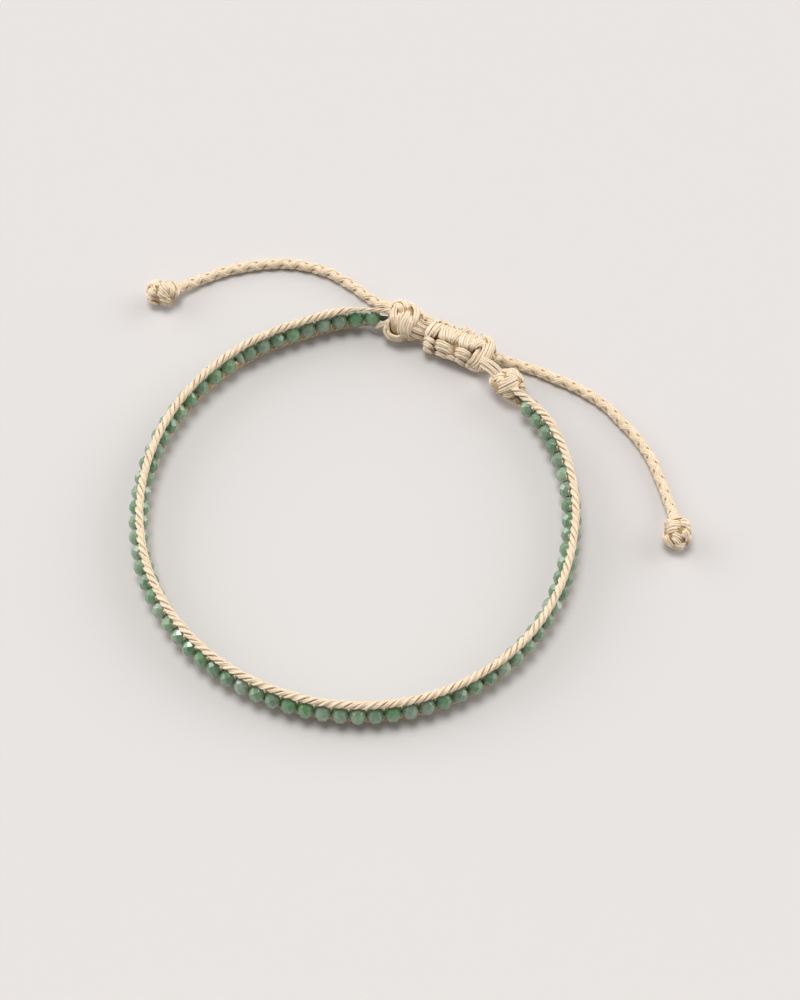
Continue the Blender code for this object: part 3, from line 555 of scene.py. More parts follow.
class Plies:
    """Collects plies and makes one mesh of them, with what the material reads.

    grain is a place in the fibres' own space, tone one value for each ply, and the last,
    the painted shade of the creases, runs from 0 on a ply's outer face to 1 on its inner one.
    """

    def __init__(self, name, seed):
        self.name = name
        self.random = np.random.default_rng(seed)
        self.points = []
        self.faces = []
        self.grain = []
        self.tone = []
        self.shade_depth = []
        self.count = 0

    def add(self, centres, outward, wide, thick, sides=6, added_shade=0.0):
        """Add one ply along these centres, its flat face turned outward.

        Its added shade, from 0 to 1, is painted shade for how deep it lies between its neighbours.
        """
        side, normal = across_frame(centres, outward)
        stations = len(centres)
        turn = np.linspace(0.0, 2.0 * math.pi, sides, endpoint=False)
        wide = np.broadcast_to(wide, stations)[:, None, None]
        thick = np.broadcast_to(thick, stations)[:, None, None]
        ring = (centres[:, None, :]
                + side[:, None, :] * wide * np.cos(turn)[None, :, None]
                + normal[:, None, :] * thick * np.sin(turn)[None, :, None])
        self.points.append(ring.reshape(-1, 3))
        along = lengths_along(centres)[:, None]
        grain = np.stack([
            np.broadcast_to(np.cos(turn), (stations, sides)),
            np.broadcast_to(np.sin(turn), (stations, sides)),
            np.broadcast_to(along, (stations, sides)),
        ], axis=2)
        place = self.random.uniform(0.0, 40.0, 3)
        self.grain.append((grain + place).reshape(-1, 3))
        self.tone.append(np.full(stations * sides, self.random.uniform()))
        # Painted shade: darker on a ply's inner face, and more where it lies deep
        added_shade = np.broadcast_to(added_shade, stations)[:, None]
        shade_depth = np.clip(0.5 - 0.5 * np.sin(turn)[None, :] + added_shade, 0.0, 1.0)
        self.shade_depth.append(shade_depth.ravel())
        self._skin(stations, sides)

    def _skin(self, stations, sides):
        first = self.count
        for i in range(stations - 1):
            low = first + i * sides
            for k in range(sides):
                j = (k + 1) % sides
                self.faces.append((low + k, low + j, low + sides + j, low + sides + k))
        last = first + (stations - 1) * sides
        self.faces.append(tuple(range(first + sides - 1, first - 1, -1)))
        self.faces.append(tuple(range(last, last + sides)))
        self.count += stations * sides

    def band(self, centres, outward, width, plies, taper=True):
        """Add a flat strand: plies side by side over a slightly domed width."""
        side, normal = across_frame(centres, outward)
        radius = 0.5 * width / plies * PLY_SPREAD
        size = np.ones(len(centres))
        shade_mask = np.zeros(len(centres))
        if taper:
            marks = lengths_along(centres)
            ends = np.minimum(marks, marks[-1] - marks)
            size = BAND_END_SIZE + (1.0 - BAND_END_SIZE) * ease(ends / width)
            # Painted shade where the band's ends tuck under
            shade_mask = BAND_END_SHADE * (1.0 - ease(ends / width))
        places = np.linspace(0.0, 1.0, len(centres))
        turns = np.linspace(0.0, 1.0, WANDER_POINTS)
        for j in range(plies):
            share = (j - 0.5 * (plies - 1)) / plies
            wander = self.random.normal(0.0, PLY_WANDER * radius, WANDER_POINTS)
            wave = np.interp(places, turns, wander)
            offset = share * width * size + wave
            drop = BAND_DOME * width * share ** 2 * size - WANDER_RISE * wave
            line = centres + side * offset[:, None] - normal * drop[:, None]
            lean = normal + side * (PLY_LEAN * share)
            # Painted shade at the band's edges
            added_shade = shade_mask + BAND_EDGE_SHADE * share ** 2
            self.add(line, lean, radius * size, radius * PLY_THICKNESS * size, added_shade=added_shade)

    def finish(self, material, offset):
        """Make the object, at the frame's place."""
        points = (np.vstack(self.points) + offset) * MM
        data = bpy.data.meshes.new(self.name)
        data.from_pydata(points.tolist(), [], self.faces)
        data.shade_smooth()
        grain = data.attributes.new("grain", "FLOAT_VECTOR", "POINT")
        grain.data.foreach_set("vector", np.vstack(self.grain).astype(np.float32).ravel())
        for name, values in (("tone", self.tone), ("shade_depth", self.shade_depth)):
            layer = data.attributes.new(name, "FLOAT", "POINT")
            layer.data.foreach_set("value", np.concatenate(values).astype(np.float32))
        data.materials.append(material)
        return add_object(self.name, data)


def node(nodes, kind, **values):
    """Add a shader node; values set its inputs by name, or its settings."""
    made = nodes.new(kind)
    for name, value in values.items():
        if name in made.inputs:
            made.inputs[name].default_value = value
        else:
            setattr(made, name, value)
    return made


def ramp(nodes, stops):
    """Add a colour ramp with these (place, colour) stops."""
    made = nodes.new("ShaderNodeValToRGB")
    elements = made.color_ramp.elements
    while len(elements) < len(stops):
        elements.new(0.5)
    for element, (place, colour) in zip(elements, stops):
        element.position = place
        element.color = (*colour, 1.0)
    return made


def mix_colour(nodes, blend, factor=0.0):
    """Add a colour mix of this blend and factor, which a link may replace."""
    made = nodes.new("ShaderNodeMix")
    made.data_type = "RGBA"
    made.blend_type = blend
    made.inputs[0].default_value = factor
    return made


def colour_in(mix, side):
    """Return a colour mix's A or B socket."""
    return mix.inputs[6 if side == "A" else 7]


def new_material(name, roughness):
    """Return a material, its nodes and its shader."""
    material = bpy.data.materials.new(name)
    material.use_nodes = True
    nodes = material.node_tree.nodes
    shader = nodes["Principled BSDF"]
    shader.inputs["Roughness"].default_value = roughness
    return material, nodes, shader


def fibre_noise(nodes, stretch, scale, detail):
    """Add noise that runs in streaks along each ply."""
    links = nodes.id_data.links
    grain = node(nodes, "ShaderNodeAttribute", attribute_name="grain")
    flat = node(nodes, "ShaderNodeVectorMath", operation="MULTIPLY")
    flat.inputs[1].default_value = (1.0, 1.0, stretch)
    links.new(grain.outputs["Vector"], flat.inputs[0])
    noise = node(nodes, "ShaderNodeTexNoise", Scale=scale, Detail=detail)
    links.new(flat.outputs[0], noise.inputs["Vector"])
    return noise


def cord_material(name, light, middle, dark, crease_shade):
    """Waxed cord: streaked fibres, painted shade where plies meet, each ply a little different."""
    material, nodes, shader = new_material(name, CORD_ROUGHNESS)
    links = material.node_tree.links
    streaks = fibre_noise(nodes, *STREAK_FIBRES)
    fine = fibre_noise(nodes, *FINE_FIBRES)

    tone = node(nodes, "ShaderNodeAttribute", attribute_name="tone")
    body = ramp(nodes, ((0.0, middle), (PALE_PLY_FROM, light), (1.0, light)))
    links.new(tone.outputs["Fac"], body.inputs["Fac"])

    streaked = mix_colour(nodes, "MIX")
    shade = ramp(nodes, ((STREAK_FROM, BLACK), (STREAK_TO, WHITE)))
    links.new(streaks.outputs["Fac"], shade.inputs["Fac"])
    soften = node(nodes, "ShaderNodeMath", operation="MULTIPLY")
    soften.inputs[1].default_value = STREAK_SHARE
    links.new(shade.outputs["Color"], soften.inputs[0])
    links.new(soften.outputs[0], streaked.inputs[0])
    links.new(body.outputs["Color"], colour_in(streaked, "A"))
    colour_in(streaked, "B").default_value = (*dark, 1.0)

    # The creases' painted shade, mixed over the streaked colour
    shade_depth = node(nodes, "ShaderNodeAttribute", attribute_name="shade_depth")
    shade_mask = ramp(nodes, ((CREASE_SHADE_FROM, BLACK), (CREASE_SHADE_TO, WHITE)))
    links.new(shade_depth.outputs["Fac"], shade_mask.inputs["Fac"])
    crease_shaded = mix_colour(nodes, "MIX")
    links.new(shade_mask.outputs["Color"], crease_shaded.inputs[0])
    links.new(streaked.outputs[2], colour_in(crease_shaded, "A"))
    colour_in(crease_shaded, "B").default_value = (*crease_shade, 1.0)
    links.new(crease_shaded.outputs[2], shader.inputs["Base Color"])

    bump = node(nodes, "ShaderNodeBump", Strength=CORD_BUMP_STRENGTH, Distance=CORD_BUMP * MM)
    links.new(fine.outputs["Fac"], bump.inputs["Height"])
    links.new(bump.outputs["Normal"], shader.inputs["Normal"])
    shader.inputs["Specular IOR Level"].default_value = CORD_SPECULAR
    return material


def stone_material():
    """Polished green stone: cloudy, each bead of its own tone and depth of green."""
    material, nodes, shader = new_material("green_stone", STONE_ROUGHNESS)
    links = material.node_tree.links
    place = node(nodes, "ShaderNodeTexCoord")
    cloud = node(nodes, "ShaderNodeTexNoise", Scale=HAZE_SCALE, Detail=4.0, Roughness=0.6)
    links.new(place.outputs["Object"], cloud.inputs["Vector"])
    speck = node(nodes, "ShaderNodeTexNoise", Scale=SPECK_SCALE, Detail=2.0)
    links.new(place.outputs["Object"], speck.inputs["Vector"])

    tone = node(nodes, "ShaderNodeAttribute", attribute_name="tone")
    body = ramp(nodes, STONE_GREENS)
    links.new(tone.outputs["Fac"], body.inputs["Fac"])
    cloudy = mix_colour(nodes, "MIX")
    haze = ramp(nodes, ((HAZE_FROM, BLACK), (HAZE_TO, (HAZE_MOST, HAZE_MOST, HAZE_MOST))))
    links.new(cloud.outputs["Fac"], haze.inputs["Fac"])
    links.new(haze.outputs["Color"], cloudy.inputs[0])
    links.new(body.outputs["Color"], colour_in(cloudy, "A"))
    colour_in(cloudy, "B").default_value = (*HAZE_COLOUR, 1.0)
    dotted = mix_colour(nodes, "MULTIPLY", SPECK_SHARE)
    dots = ramp(nodes, ((SPECK_FROM, SPECK_COLOUR), (SPECK_TO, WHITE)))
    links.new(speck.outputs["Fac"], dots.inputs["Fac"])
    links.new(cloudy.outputs[2], colour_in(dotted, "A"))
    links.new(dots.outputs["Color"], colour_in(dotted, "B"))

    depth = node(nodes, "ShaderNodeAttribute", attribute_name="depth")
    tinted = node(nodes, "ShaderNodeHueSaturation")
    links.new(depth.outputs["Fac"], tinted.inputs["Saturation"])
    links.new(dotted.outputs[2], tinted.inputs["Color"])
    links.new(tinted.outputs["Color"], shader.inputs["Base Color"])

    bump = node(nodes, "ShaderNodeBump", Strength=STONE_BUMP_STRENGTH, Distance=STONE_BUMP * MM)
    links.new(speck.outputs["Fac"], bump.inputs["Height"])
    links.new(bump.outputs["Normal"], shader.inputs["Normal"])
    shader.inputs["Coat Weight"].default_value = 1.0
    shader.inputs["Coat IOR"].default_value = STONE_COAT_IOR
    shader.inputs["Coat Roughness"].default_value = STONE_COAT_ROUGHNESS
    return material


def band_curve(reach=((0.0, 0.0),)):
    """Return the bead row's route in the plane, widened by (angle, reach) marks."""
    polar = smooth([(angle, share, 0.0) for angle, share in BAND_ROUTE])
    turn = np.radians(polar[:, 0])
    angles, reaches = np.array(reach).T
    radius = polar[:, 1] * BAND_RADIUS + np.interp(-polar[:, 0], -angles, reaches)
    return np.stack([radius * np.cos(turn), radius * np.sin(turn), 0.0 * turn], axis=1)


def facet_bead():
    """Return one bead's mesh: rings of rhombic facets round its hole, along X."""
    step = 2.0 * math.pi / BEAD_FACETS
    flat = math.cos(0.5 * step)
    half = 0.5 * BEAD_LENGTH
    belt = BEAD_BELT_SHARE * half
    shoulder = BEAD_SHOULDER_SHARE * half
    rings = (
        (-half, BEAD_END_RADIUS, 0.5),
        (-shoulder, BEAD_SHOULDER_RADIUS, 0.5),
        (-belt, BEAD_RADIUS * flat, 0.0),
        (0.0, BEAD_RADIUS, 0.5),
        (belt, BEAD_RADIUS * flat, 0.0),
        (shoulder, BEAD_SHOULDER_RADIUS, 0.5),
        (half, BEAD_END_RADIUS, 0.5),
    )
    mesh = bmesh.new()
    for along, radius, phase in rings:
        for k in range(BEAD_FACETS):
            angle = step * (k + phase)
            mesh.verts.new((along, radius * math.cos(angle), radius * math.sin(angle)))
    bmesh.ops.convex_hull(mesh, input=mesh.verts)
    bmesh.ops.dissolve_limit(mesh, angle_limit=BEAD_FLAT_ANGLE, verts=mesh.verts,
                             edges=mesh.edges)
    bmesh.ops.bevel(mesh, geom=list(mesh.edges), offset=BEAD_BEVEL, segments=2,
                    profile=BEAD_BEVEL_PROFILE, affect="EDGES")
    return mesh


def bead_distances(row):
    """Return how far along the row each bead's middle lies."""
    numbers, angles = zip(*BEAD_MARKS)
    turned = -np.degrees(np.unwrap(np.arctan2(row[:, 1], row[:, 0])))
    wanted = -np.interp(np.arange(numbers[-1] + 1), numbers, angles)
    return np.interp(wanted, turned, lengths_along(row))


def heading_at(row, distance):
    """Return the row's place and unit direction at this distance."""
    marks = lengths_along(row)
    heading = tangents(row)
    facing = [np.interp(distance, marks, heading[:, axis]) for axis in range(3)]
    return read_at(row, [distance])[0], unit(np.array(facing))


def bead_row(row, distances, material, offset):
    """Build the beads, each turned, tinted and sized a little differently."""
    rng = random.Random(SEED)
    pattern = facet_bead()
    whole = bmesh.new()
    tone = whole.verts.layers.float.new("tone")
    depth = whole.verts.layers.float.new("depth")
    for i, distance in enumerate(distances):
        centre, facing = heading_at(row, distance)
        side = np.cross(UP, facing)
        basis = Matrix((facing, side, UP)).transposed().to_4x4()
        seen = math.atan2(float(TOWARD_CAMERA @ UP), float(TOWARD_CAMERA @ side))
        roll = Matrix.Rotation(seen + rng.gauss(0.0, BEAD_ROLL_SPREAD), 4, "X")
        tilt = Matrix.Rotation(rng.gauss(0.0, BEAD_TILT_SPREAD), 4, "Z")
        size = 1.0 + rng.uniform(-BEAD_SIZE_SPREAD, BEAD_SIZE_SPREAD)
        shade = min(1.0, max(0.0, rng.gauss(BEAD_TONE_MIDDLE, BEAD_TONE_SPREAD)))
        green = rng.uniform(*BEAD_DEPTH_RANGE)
        long = 1.0
        if i == NARROW_BEAD:
            long = NARROW_SHARE
            size = NARROW_GIRTH
            shade = NARROW_TONE
        place = Matrix.Translation(Vector(centre + offset)) @ basis @ tilt @ roll
        shape = Matrix.Diagonal((size * long, size, size, 1.0))
        place = Matrix.Scale(MM, 4) @ place @ shape
        copies = {}
        for vert in pattern.verts:
            copy = whole.verts.new(place @ vert.co)
            copy[tone] = shade
            copy[depth] = green
            copies[vert] = copy
        for face in pattern.faces:
            whole.faces.new([copies[vert] for vert in face.verts])
    pattern.free()
    data = bpy.data.meshes.new("beads")
    whole.to_mesh(data)
    whole.free()
    data.materials.append(material)
    return add_object("beads", data)


def knot_point(centre, half, shares):
    """Return places given as (across, up, out) shares of a gather knot's half sizes."""
    return np.array(shares) * np.array(half) @ knot_axes() + centre


def edge_cord(name, seed, height, starts, stops, pitch, material, offset):
    """Build one edge cord: strands in a left-handed twist.

    starts lie in the right gather knot and stops in the left one. pitch is the distance
    from bead to bead, which the twist follows.
    """
    route = band_curve(CORD_REACH)
    route[:, 2] = height
    chosen = np.vstack([starts, route[ROUTE_EVERY:-ROUTE_EVERY:ROUTE_EVERY], stops])
    line = even(smooth(chosen, 8), EDGE_STEP)
    marks = lengths_along(line)
    side, normal = across_frame(line, UP)
    left_over = marks[-1] - marks
    thinned = ease((left_over - THIN_TO) / (THIN_FROM - THIN_TO))
    size = THIN_SHARE + (1.0 - THIN_SHARE) * thinned
    lobes = 2.0 * math.pi * EDGE_LOBES * marks / pitch
    plies = Plies(name, seed)
    for strand in range(EDGE_STRANDS):
        turn = EDGE_PHASE + (2.0 * math.pi * strand - lobes) / EDGE_STRANDS
        radial = side * np.cos(turn)[:, None] + normal * np.sin(turn)[:, None]
        middle = line + radial * (EDGE_TWIST_RADIUS * size)[:, None]
        around = np.cross(tangents(line), radial)
        for ply in range(EDGE_PLIES):
            own = 2.0 * math.pi * ply / EDGE_PLIES + PLY_TURN * (strand + lobes)
            out = radial * np.cos(own)[:, None] + around * np.sin(own)[:, None]
            centre = middle + out * (EDGE_STRAND_RADIUS * size)[:, None]
            radius = EDGE_PLY_RADIUS * size
            from_axis = np.linalg.norm(centre - line, axis=1)
            furthest = (EDGE_TWIST_RADIUS + EDGE_STRAND_RADIUS) * size
            # Painted shade, deeper towards the cord's axis
            added_shade = EDGE_CREASE_SHADE * (1.0 - from_axis / furthest)
            plies.add(centre, unit(centre - line), radius, radius, added_shade=added_shade)
    return plies.finish(material, offset)


def stitches(row, distances, low, high, material, offset):
    """Build the stitches between the beads, from the lower edge cord to the upper."""
    plies = Plies("stitches", SEED + 3)
    share = np.array(STITCH_HEIGHTS)
    away = np.abs(share)
    grown = ease((away - STITCH_THIN_WITHIN) / STITCH_THIN_WITHIN)
    spread = STITCH_MIDDLE_SPREAD + (1.0 - STITCH_MIDDLE_SPREAD) * away ** STITCH_CURVE
    radius = STITCH_MIDDLE_RADIUS + (STITCH_RADIUS - STITCH_MIDDLE_RADIUS) * grown
    for near, far in zip(distances, distances[1:]):
        centre, facing = heading_at(row, 0.5 * (near + far))
        outward = np.cross(facing, UP)
        for reach in (-STITCH_SPREAD, STITCH_SPREAD):
            line = centre + outward * (reach * spread)[:, None]
            line[:, 2] = 0.5 * (low + high) + 0.5 * (high - low) * share
            plies.add(line, outward, radius, radius)
    return plies.finish(material, offset)


def thread(row, ends, material, offset):
    """Build the thread that the beads hang on, with its short bare ends."""
    plies = Plies("bead_thread", SEED + 4)
    line = np.vstack([[ends[0]], row[::4], [ends[1]]])
    plies.add(even(line, THREAD_STEP), UP, THREAD_RADIUS, THREAD_RADIUS, sides=THREAD_SIDES)
    return plies.finish(material, offset)


def braid(name, seed, route, material, offset):
    """Build a tail: a round braid of four flat strands, two turning each way."""
    line = even(smooth(route), BRAID_STEP)
    side, normal = across_frame(line, TOWARD_CAMERA)
    marks = lengths_along(line)
    turned = 2.0 * math.pi * marks / BRAID_TURN
    lean = math.cos(math.atan(2.0 * math.pi * BRAID_RADIUS / BRAID_TURN))
    plies = Plies(name, seed)
    for way in (1, -1):
        over = way * np.cos(2.0 * turned)
        reach = BRAID_RADIUS + BRAID_WAVE * over
        for start in (0.0, math.pi):
            for ply in range(BRAID_PLIES):
                share = (ply - 0.5 * (BRAID_PLIES - 1)) / BRAID_PLIES
                shift = share * BRAID_WIDTH / (BRAID_RADIUS * lean)
                turn = way * turned + start + shift + BRAID_PHASE
                out = side * np.cos(turn)[:, None] + normal * np.sin(turn)[:, None]
                wander = BRAID_WANDER * plies.random.normal()
                dome = reach - BRAID_DOME * share ** 2 + wander
                # Painted shade on the under stretches and at the strand's edges
                added_shade = BRAID_UNDER_SHADE * (0.5 - 0.5 * over) + BRAID_EDGE_SHADE * share ** 2
                plies.add(line + out * dome[:, None], out, BRAID_PLY_RADIUS, BRAID_PLY_RADIUS,
                          added_shade=added_shade)
    plies.add(line, normal, BRAID_CORE_RADIUS, BRAID_CORE_RADIUS)
    obj = plies.finish(material, offset)
    return obj, (line + offset) * MM


def knot_axes(yaw=0.0):
    """Return a knot's axes as rows: along it, up its face, and out of its face."""
    along = np.array([math.cos(yaw), math.sin(yaw), 0.0])
    out = np.array([0.0, -math.sin(KNOT_LEAN), math.cos(KNOT_LEAN)])
    out = unit(out - along * np.dot(out, along))
    return np.array([along, np.cross(out, along), out])


def over_ball(half, inset, across, up):
    """Return the depth of a rounded knot's form under places on its face."""
    x = across * half[0] / (half[0] - inset)
    y = up * half[1] / (half[1] - inset)
    return (half[2] - inset) * np.sqrt(np.clip(1.0 - x * x - y * y, 0.0, 1.0))


def over_roll(half, inset, along, up):
    """Return the depth of the sliding knot's form under places on its face."""
    y = up * half[1] / (half[1] - inset)
    past = np.maximum(0.0, np.abs(along) - SLIDING_ROUND_FROM) / (1.0 - SLIDING_ROUND_FROM)
    ends = np.sqrt(np.clip(1.0 - SLIDING_END_ROUNDING * past * past, 0.0, 1.0))
    return (half[2] - inset) * np.sqrt(np.clip(1.0 - y * y, 0.0, 1.0)) * ends


def add_band(plies, form, centre, axes, half, row, side):
    """Add one strand over a knot's form; its ends lie low, under its neighbours.

    side is 1 for the face, -1 for the back, and 0 for a strand that goes up the face,
    over the top and down the back.
    """
    width, count, rise, places = row
    across, up = smooth([(*place, 0.0) for place in places], KNOT_SPAN_POINTS)[:, :2].T
    share = np.linspace(0.0, 1.0, len(across))
    if side != 0.0:
        share = np.minimum(share, 1.0 - share)
    lift = END_DROP + (rise - END_DROP) * ease(BAND_RISE_RATE * share)
    depth = np.maximum(0.0, form(half, BAND_INSET * width, across, up) + lift)
    if side == 0.0:
        depth = np.concatenate([depth, -depth[-2::-1]])
        across = np.concatenate([across, across[-2::-1]])
        up = np.concatenate([up, up[-2::-1]])
    else:
        depth = side * depth
    place = np.stack([across * half[0], up * half[1], depth], axis=1)
    place = place * np.array([KNOT_REACH, KNOT_REACH, 1.0])
    line = even(place, KNOT_STEP)
    outward = unit(line / np.array(half) ** 2 + np.array([0.0, 0.0, RIM_LEAN * side]))
    plies.band(line @ axes + centre, outward @ axes, width, count)


def knot_core(name, centre, axes, half, share, material, offset):
    """Build a dark ball in a knot's middle, painted shade seen only between its strands."""
    mesh = bmesh.new()
    bmesh.ops.create_icosphere(mesh, subdivisions=4, radius=1.0)
    size = np.array(half) * share
    for vert in mesh.verts:
        place = (np.array(vert.co) * size) @ axes + centre + offset
        vert.co = Vector(place * MM)
    data = bpy.data.meshes.new(name)
    mesh.to_mesh(data)
    mesh.free()
    data.shade_smooth()
    data.materials.append(material)
    return add_object(name, data)


def ball_knot(name, seed, centre, half, rows, material, offset):
    """Build a knot of strands over a rounded form, its back like its face."""
    axes = knot_axes()
    plies = Plies(name + "_strands", seed)
    for row in rows:
        for side in (1.0, -1.0):
            add_band(plies, over_ball, centre, axes, half, row, side)
    for knot, width, count, shares in LOOSE_STRANDS:
        if knot == name:
            chosen = knot_point(centre, half, shares)
            line = even(smooth(chosen, KNOT_SPAN_POINTS), KNOT_STEP)
            plies.band(line, axes[2], width, count, taper=False)
    return plies.finish(material, offset)


def sliding_knot(centre, material, offset):
    """Build the sliding knot, its back like its face."""
    half = SLIDING_HALF
    axes = knot_axes(SLIDING_YAW)
    plies = Plies("sliding_knot_strands", SEED + 20)
    for row in SLIDING_BANDS:
        over_top = row[3][-1][1] >= SLIDING_TOP
        for side in ((0.0,) if over_top else (1.0, -1.0)):
            add_band(plies, over_roll, centre, axes, half, row, side)
    return plies.finish(material, offset)


def core_strands(centre, material, offset):
    """Build the bare strands inside the sliding knot, to just short of its ends."""
    axes = knot_axes(SLIDING_YAW)
    reach = CORE_REACH * SLIDING_HALF[0]
    line = even(np.array([centre - axes[0] * reach, centre + axes[0] * reach]), KNOT_STEP)
    plies = Plies("core_strand_plies", SEED + 21)
    plies.band(line, axes[2], CORE_WIDTH, CORE_PLIES)
    return plies.finish(material, offset)


def box_centre(name):
    """Return the middle of a node's box in millimetres."""
    low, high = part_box(name)
    return np.array(low + high) / (2.0 * MM)


def make_camera(offset):
    """Aim the camera as the photograph was taken."""
    data = bpy.data.cameras.new("camera")
    data.lens = CAMERA_LENS
    data.sensor_width = CAMERA_SENSOR
    data.clip_start = CAMERA_CLIP * MM
    data.dof.use_dof = False
    camera = add_object("camera", data)
    place = np.array(CAMERA_TARGET) + offset + TOWARD_CAMERA * CAMERA_DISTANCE
    camera.location = Vector(place * MM)
    camera.rotation_euler = (0.5 * math.pi - CAMERA_ELEVATION, 0.0, 0.0)
    bpy.context.scene.camera = camera


def make_studio():
    """Build the pale floor and the soft light."""
    mesh = bmesh.new()
    bmesh.ops.create_grid(mesh, x_segments=1, y_segments=1, size=FLOOR_SIZE)
    data = bpy.data.meshes.new("floor")
    mesh.to_mesh(data)
    mesh.free()
    material, _, shader = new_material("pale_floor", FLOOR_ROUGHNESS)
    shader.inputs["Base Color"].default_value = (*FLOOR_COLOUR, 1.0)
    shader.inputs["Specular IOR Level"].default_value = 0.0
    data.materials.append(material)
    floor = add_object("floor", data)

    sun = bpy.data.lights.new("key", "SUN")
    sun.energy = SUN_STRENGTH
    sun.angle = SUN_ANGLE
    sun.color = SUN_COLOUR
    key = add_object("key", sun)
    key.rotation_euler = SUN_TILT
    make_sky()


def sky_ramp(nodes, socket, stops):
    """Return a ramp's colour, read by this socket's value."""
    made = ramp(nodes, stops)
    nodes.id_data.links.new(socket, made.inputs["Fac"])
    return made.outputs["Color"]


def joined_light(nodes, blend, first, second):
    """Return two colours of light multiplied or added."""
    mix = mix_colour(nodes, blend, 1.0)
    nodes.id_data.links.new(first, colour_in(mix, "A"))
    nodes.id_data.links.new(second, colour_in(mix, "B"))
    return mix.outputs[2]


def nearness(nodes, place, direction):
    """Return how near the sky's place is to this direction, 1 where it meets it."""
    made = node(nodes, "ShaderNodeVectorMath", operation="DOT_PRODUCT")
    made.inputs[1].default_value = tuple(direction)
    nodes.id_data.links.new(place, made.inputs[0])
    return made.outputs["Value"]


def make_sky():
    """Build the sky: brighter high up and at the sides, dim towards the camera's place.

    A bright patch behind each side gives the beads their highlights.
    """
    world = bpy.data.worlds.new("studio")
    world.use_nodes = True
    nodes = world.node_tree.nodes
    links = world.node_tree.links
    background = nodes["Background"]
    place = node(nodes, "ShaderNodeTexCoord").outputs["Generated"]
    split = node(nodes, "ShaderNodeSeparateXYZ")
    links.new(place, split.inputs[0])
    sideways = node(nodes, "ShaderNodeMath", operation="ABSOLUTE")
    links.new(split.outputs["X"], sideways.inputs[0])

    light = sky_ramp(nodes, split.outputs["Z"], SKY_HEIGHTS)
    at_sides = sky_ramp(nodes, sideways.outputs[0], SKY_SIDES)
    light = joined_light(nodes, "MULTIPLY", light, at_sides)
    in_front = sky_ramp(nodes, nearness(nodes, place, TOWARD_CAMERA), SKY_FRONT)
    light = joined_light(nodes, "MULTIPLY", light, in_front)
    for side in (-1.0, 1.0):
        toward = (side * PATCH_TOWARD[0], PATCH_TOWARD[1], PATCH_TOWARD[2])
        near = nearness(nodes, place, toward)
        patch = sky_ramp(nodes, near, ((PATCH_FROM, BLACK), (PATCH_TO, PATCH_LIGHT)))
        light = joined_light(nodes, "ADD", light, patch)
    links.new(light, background.inputs["Color"])
    background.inputs["Strength"].default_value = SKY_STRENGTH
    bpy.context.scene.world = world
    bpy.context.scene.view_settings.view_transform = "Standard"


def place_piece(obj, slot, *nodes):
    """Let a piece ride on the frame and hide what it stands for; slot is not used."""
    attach(obj, "root")
    if nodes:
        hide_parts(*nodes)


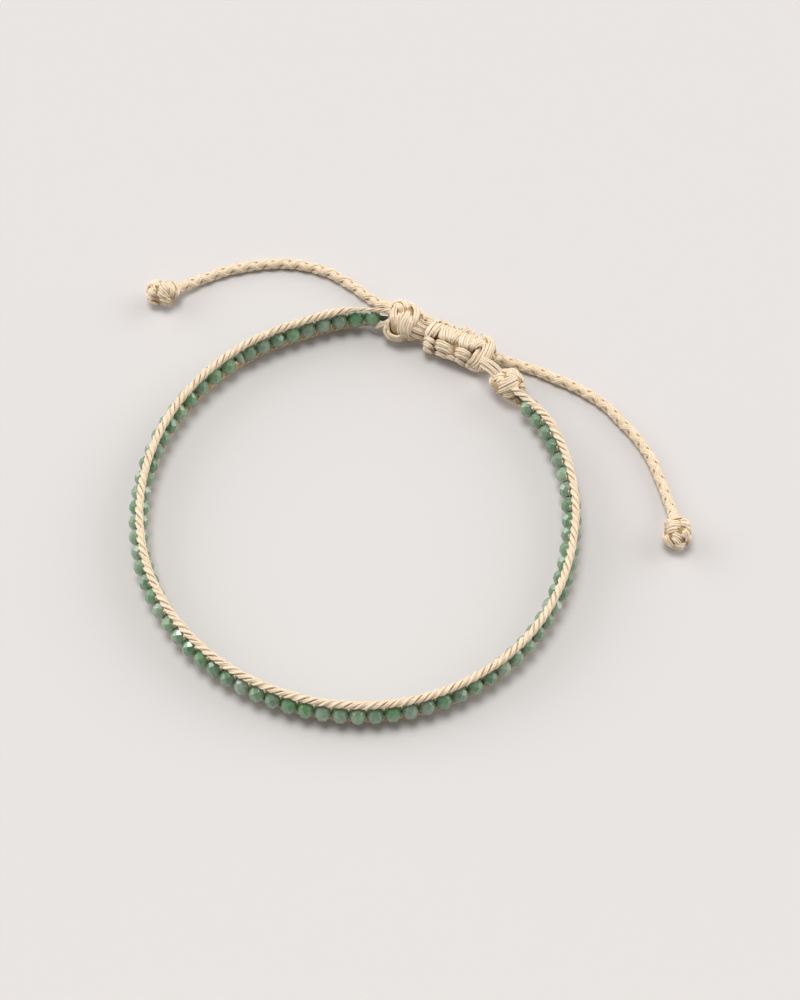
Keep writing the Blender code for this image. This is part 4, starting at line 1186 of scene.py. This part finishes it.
def main():
    """Build the bracelet's pieces round the frame."""
    for obj in list(bpy.data.objects):
        bpy.data.objects.remove(obj, do_unlink=True)
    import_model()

    row = band_curve()
    middle = 0.5 * (row.min(axis=0) + row.max(axis=0))
    offset = box_centre("bead_string") - middle
    offset[2] = 0.0
    centres = {}
    for name in ("left_gather_knot", "right_gather_knot", "sliding_knot",
                 "left_end_knot", "right_end_knot"):
        centres[name] = box_centre(name) - offset
    make_camera(offset)
    make_studio()

    cream = cord_material("waxed_cord", *CREAM_CORD)
    # The lower edge cord's material: the cream cord in painted shade
    bottom_in_shade = cord_material("cord_below_in_shade", *SHADED_BOTTOM_CORD)
    shade = cord_material("cord_in_shade", *SHADED_CORD)
    dark = cord_material("dark_thread", *DARK_CORD)
    stone = stone_material()

    row[:, 2] = box_centre("bead_string")[2]
    row = even(row, EDGE_STEP)
    distances = bead_distances(row)
    pitch = (distances[-1] - distances[0]) / (len(distances) - 1)
    left_knot = centres["left_gather_knot"]
    right_knot = centres["right_gather_knot"]

    beads = bead_row(row, distances, stone, offset)
    place_piece(beads, "stone", "bead_string")
    string = thread(row, (right_knot, left_knot), dark, offset)
    place_piece(string, "cord")

    cords = (
        ("top_cord_twist", "top_edge_cord", TOP_STARTS, TOP_STOPS, cream),
        ("bottom_cord_twist", "bottom_edge_cord", LOW_STARTS, LOW_STOPS, bottom_in_shade),
    )
    reach = EDGE_TWIST_RADIUS + EDGE_STRAND_RADIUS + EDGE_PLY_RADIUS + FLOOR_CLEARANCE
    heights = []
    for i, (name, solid, right_shares, left_shares, material) in enumerate(cords):
        height = max(box_centre(solid)[2], reach)
        heights.append(height)
        starts = knot_point(right_knot, RIGHT_GATHER_HALF, right_shares)
        stops = knot_point(left_knot, LEFT_GATHER_HALF, left_shares)
        cord = edge_cord(name, SEED + 1 + i, height, starts, stops, pitch, material, offset)
        place_piece(cord, "cord", solid)
    high, low = heights
    stitch = stitches(row, distances, low, high, cream, offset)
    place_piece(stitch, "cord")

    knots = (
        ("left_gather_knot", LEFT_GATHER_HALF, LEFT_GATHER_BANDS),
        ("right_gather_knot", RIGHT_GATHER_HALF, RIGHT_GATHER_BANDS),
        ("left_end_knot", LEFT_END_HALF, LEFT_END_BANDS),
        ("right_end_knot", RIGHT_END_HALF, RIGHT_END_BANDS),
    )
    for i, (name, half, rows) in enumerate(knots):
        strands = ball_knot(name, SEED + 10 + i, centres[name], half, rows, cream, offset)
        place_piece(strands, "cord", name)
        core = knot_core(name + "_core", centres[name], knot_axes(), half,
                         KNOT_CORE_SHARE, shade, offset)
        place_piece(core, "cord")

    centre = centres["sliding_knot"]
    slider = sliding_knot(centre, cream, offset)
    place_piece(slider, "cord", "sliding_knot")
    slider_core = knot_core("sliding_knot_core", centre, knot_axes(SLIDING_YAW),
                            SLIDING_HALF, SLIDING_CORE_SHARE, shade, offset)
    place_piece(slider_core, "cord")
    strands = core_strands(centre, cream, offset)
    place_piece(strands, "cord", "core_strands")

    tails = (
        ("left", (LEFT_TAIL_START, *LEFT_TAIL_ROUTE)),
        ("right", (RIGHT_TAIL_START, *RIGHT_TAIL_ROUTE)),
    )
    for i, (side, route) in enumerate(tails):
        knot = centres[side + "_end_knot"]
        end = np.array(route[-1]) * (1.0 - TAIL_END_SHARE) + knot * TAIL_END_SHARE
        route = (*route, tuple(end))
        obj, path = braid(side + "_tail_braid", SEED + 30 + i, route, cream, offset)
        place_piece(obj, "cord", side + "_tail_cord")


main()
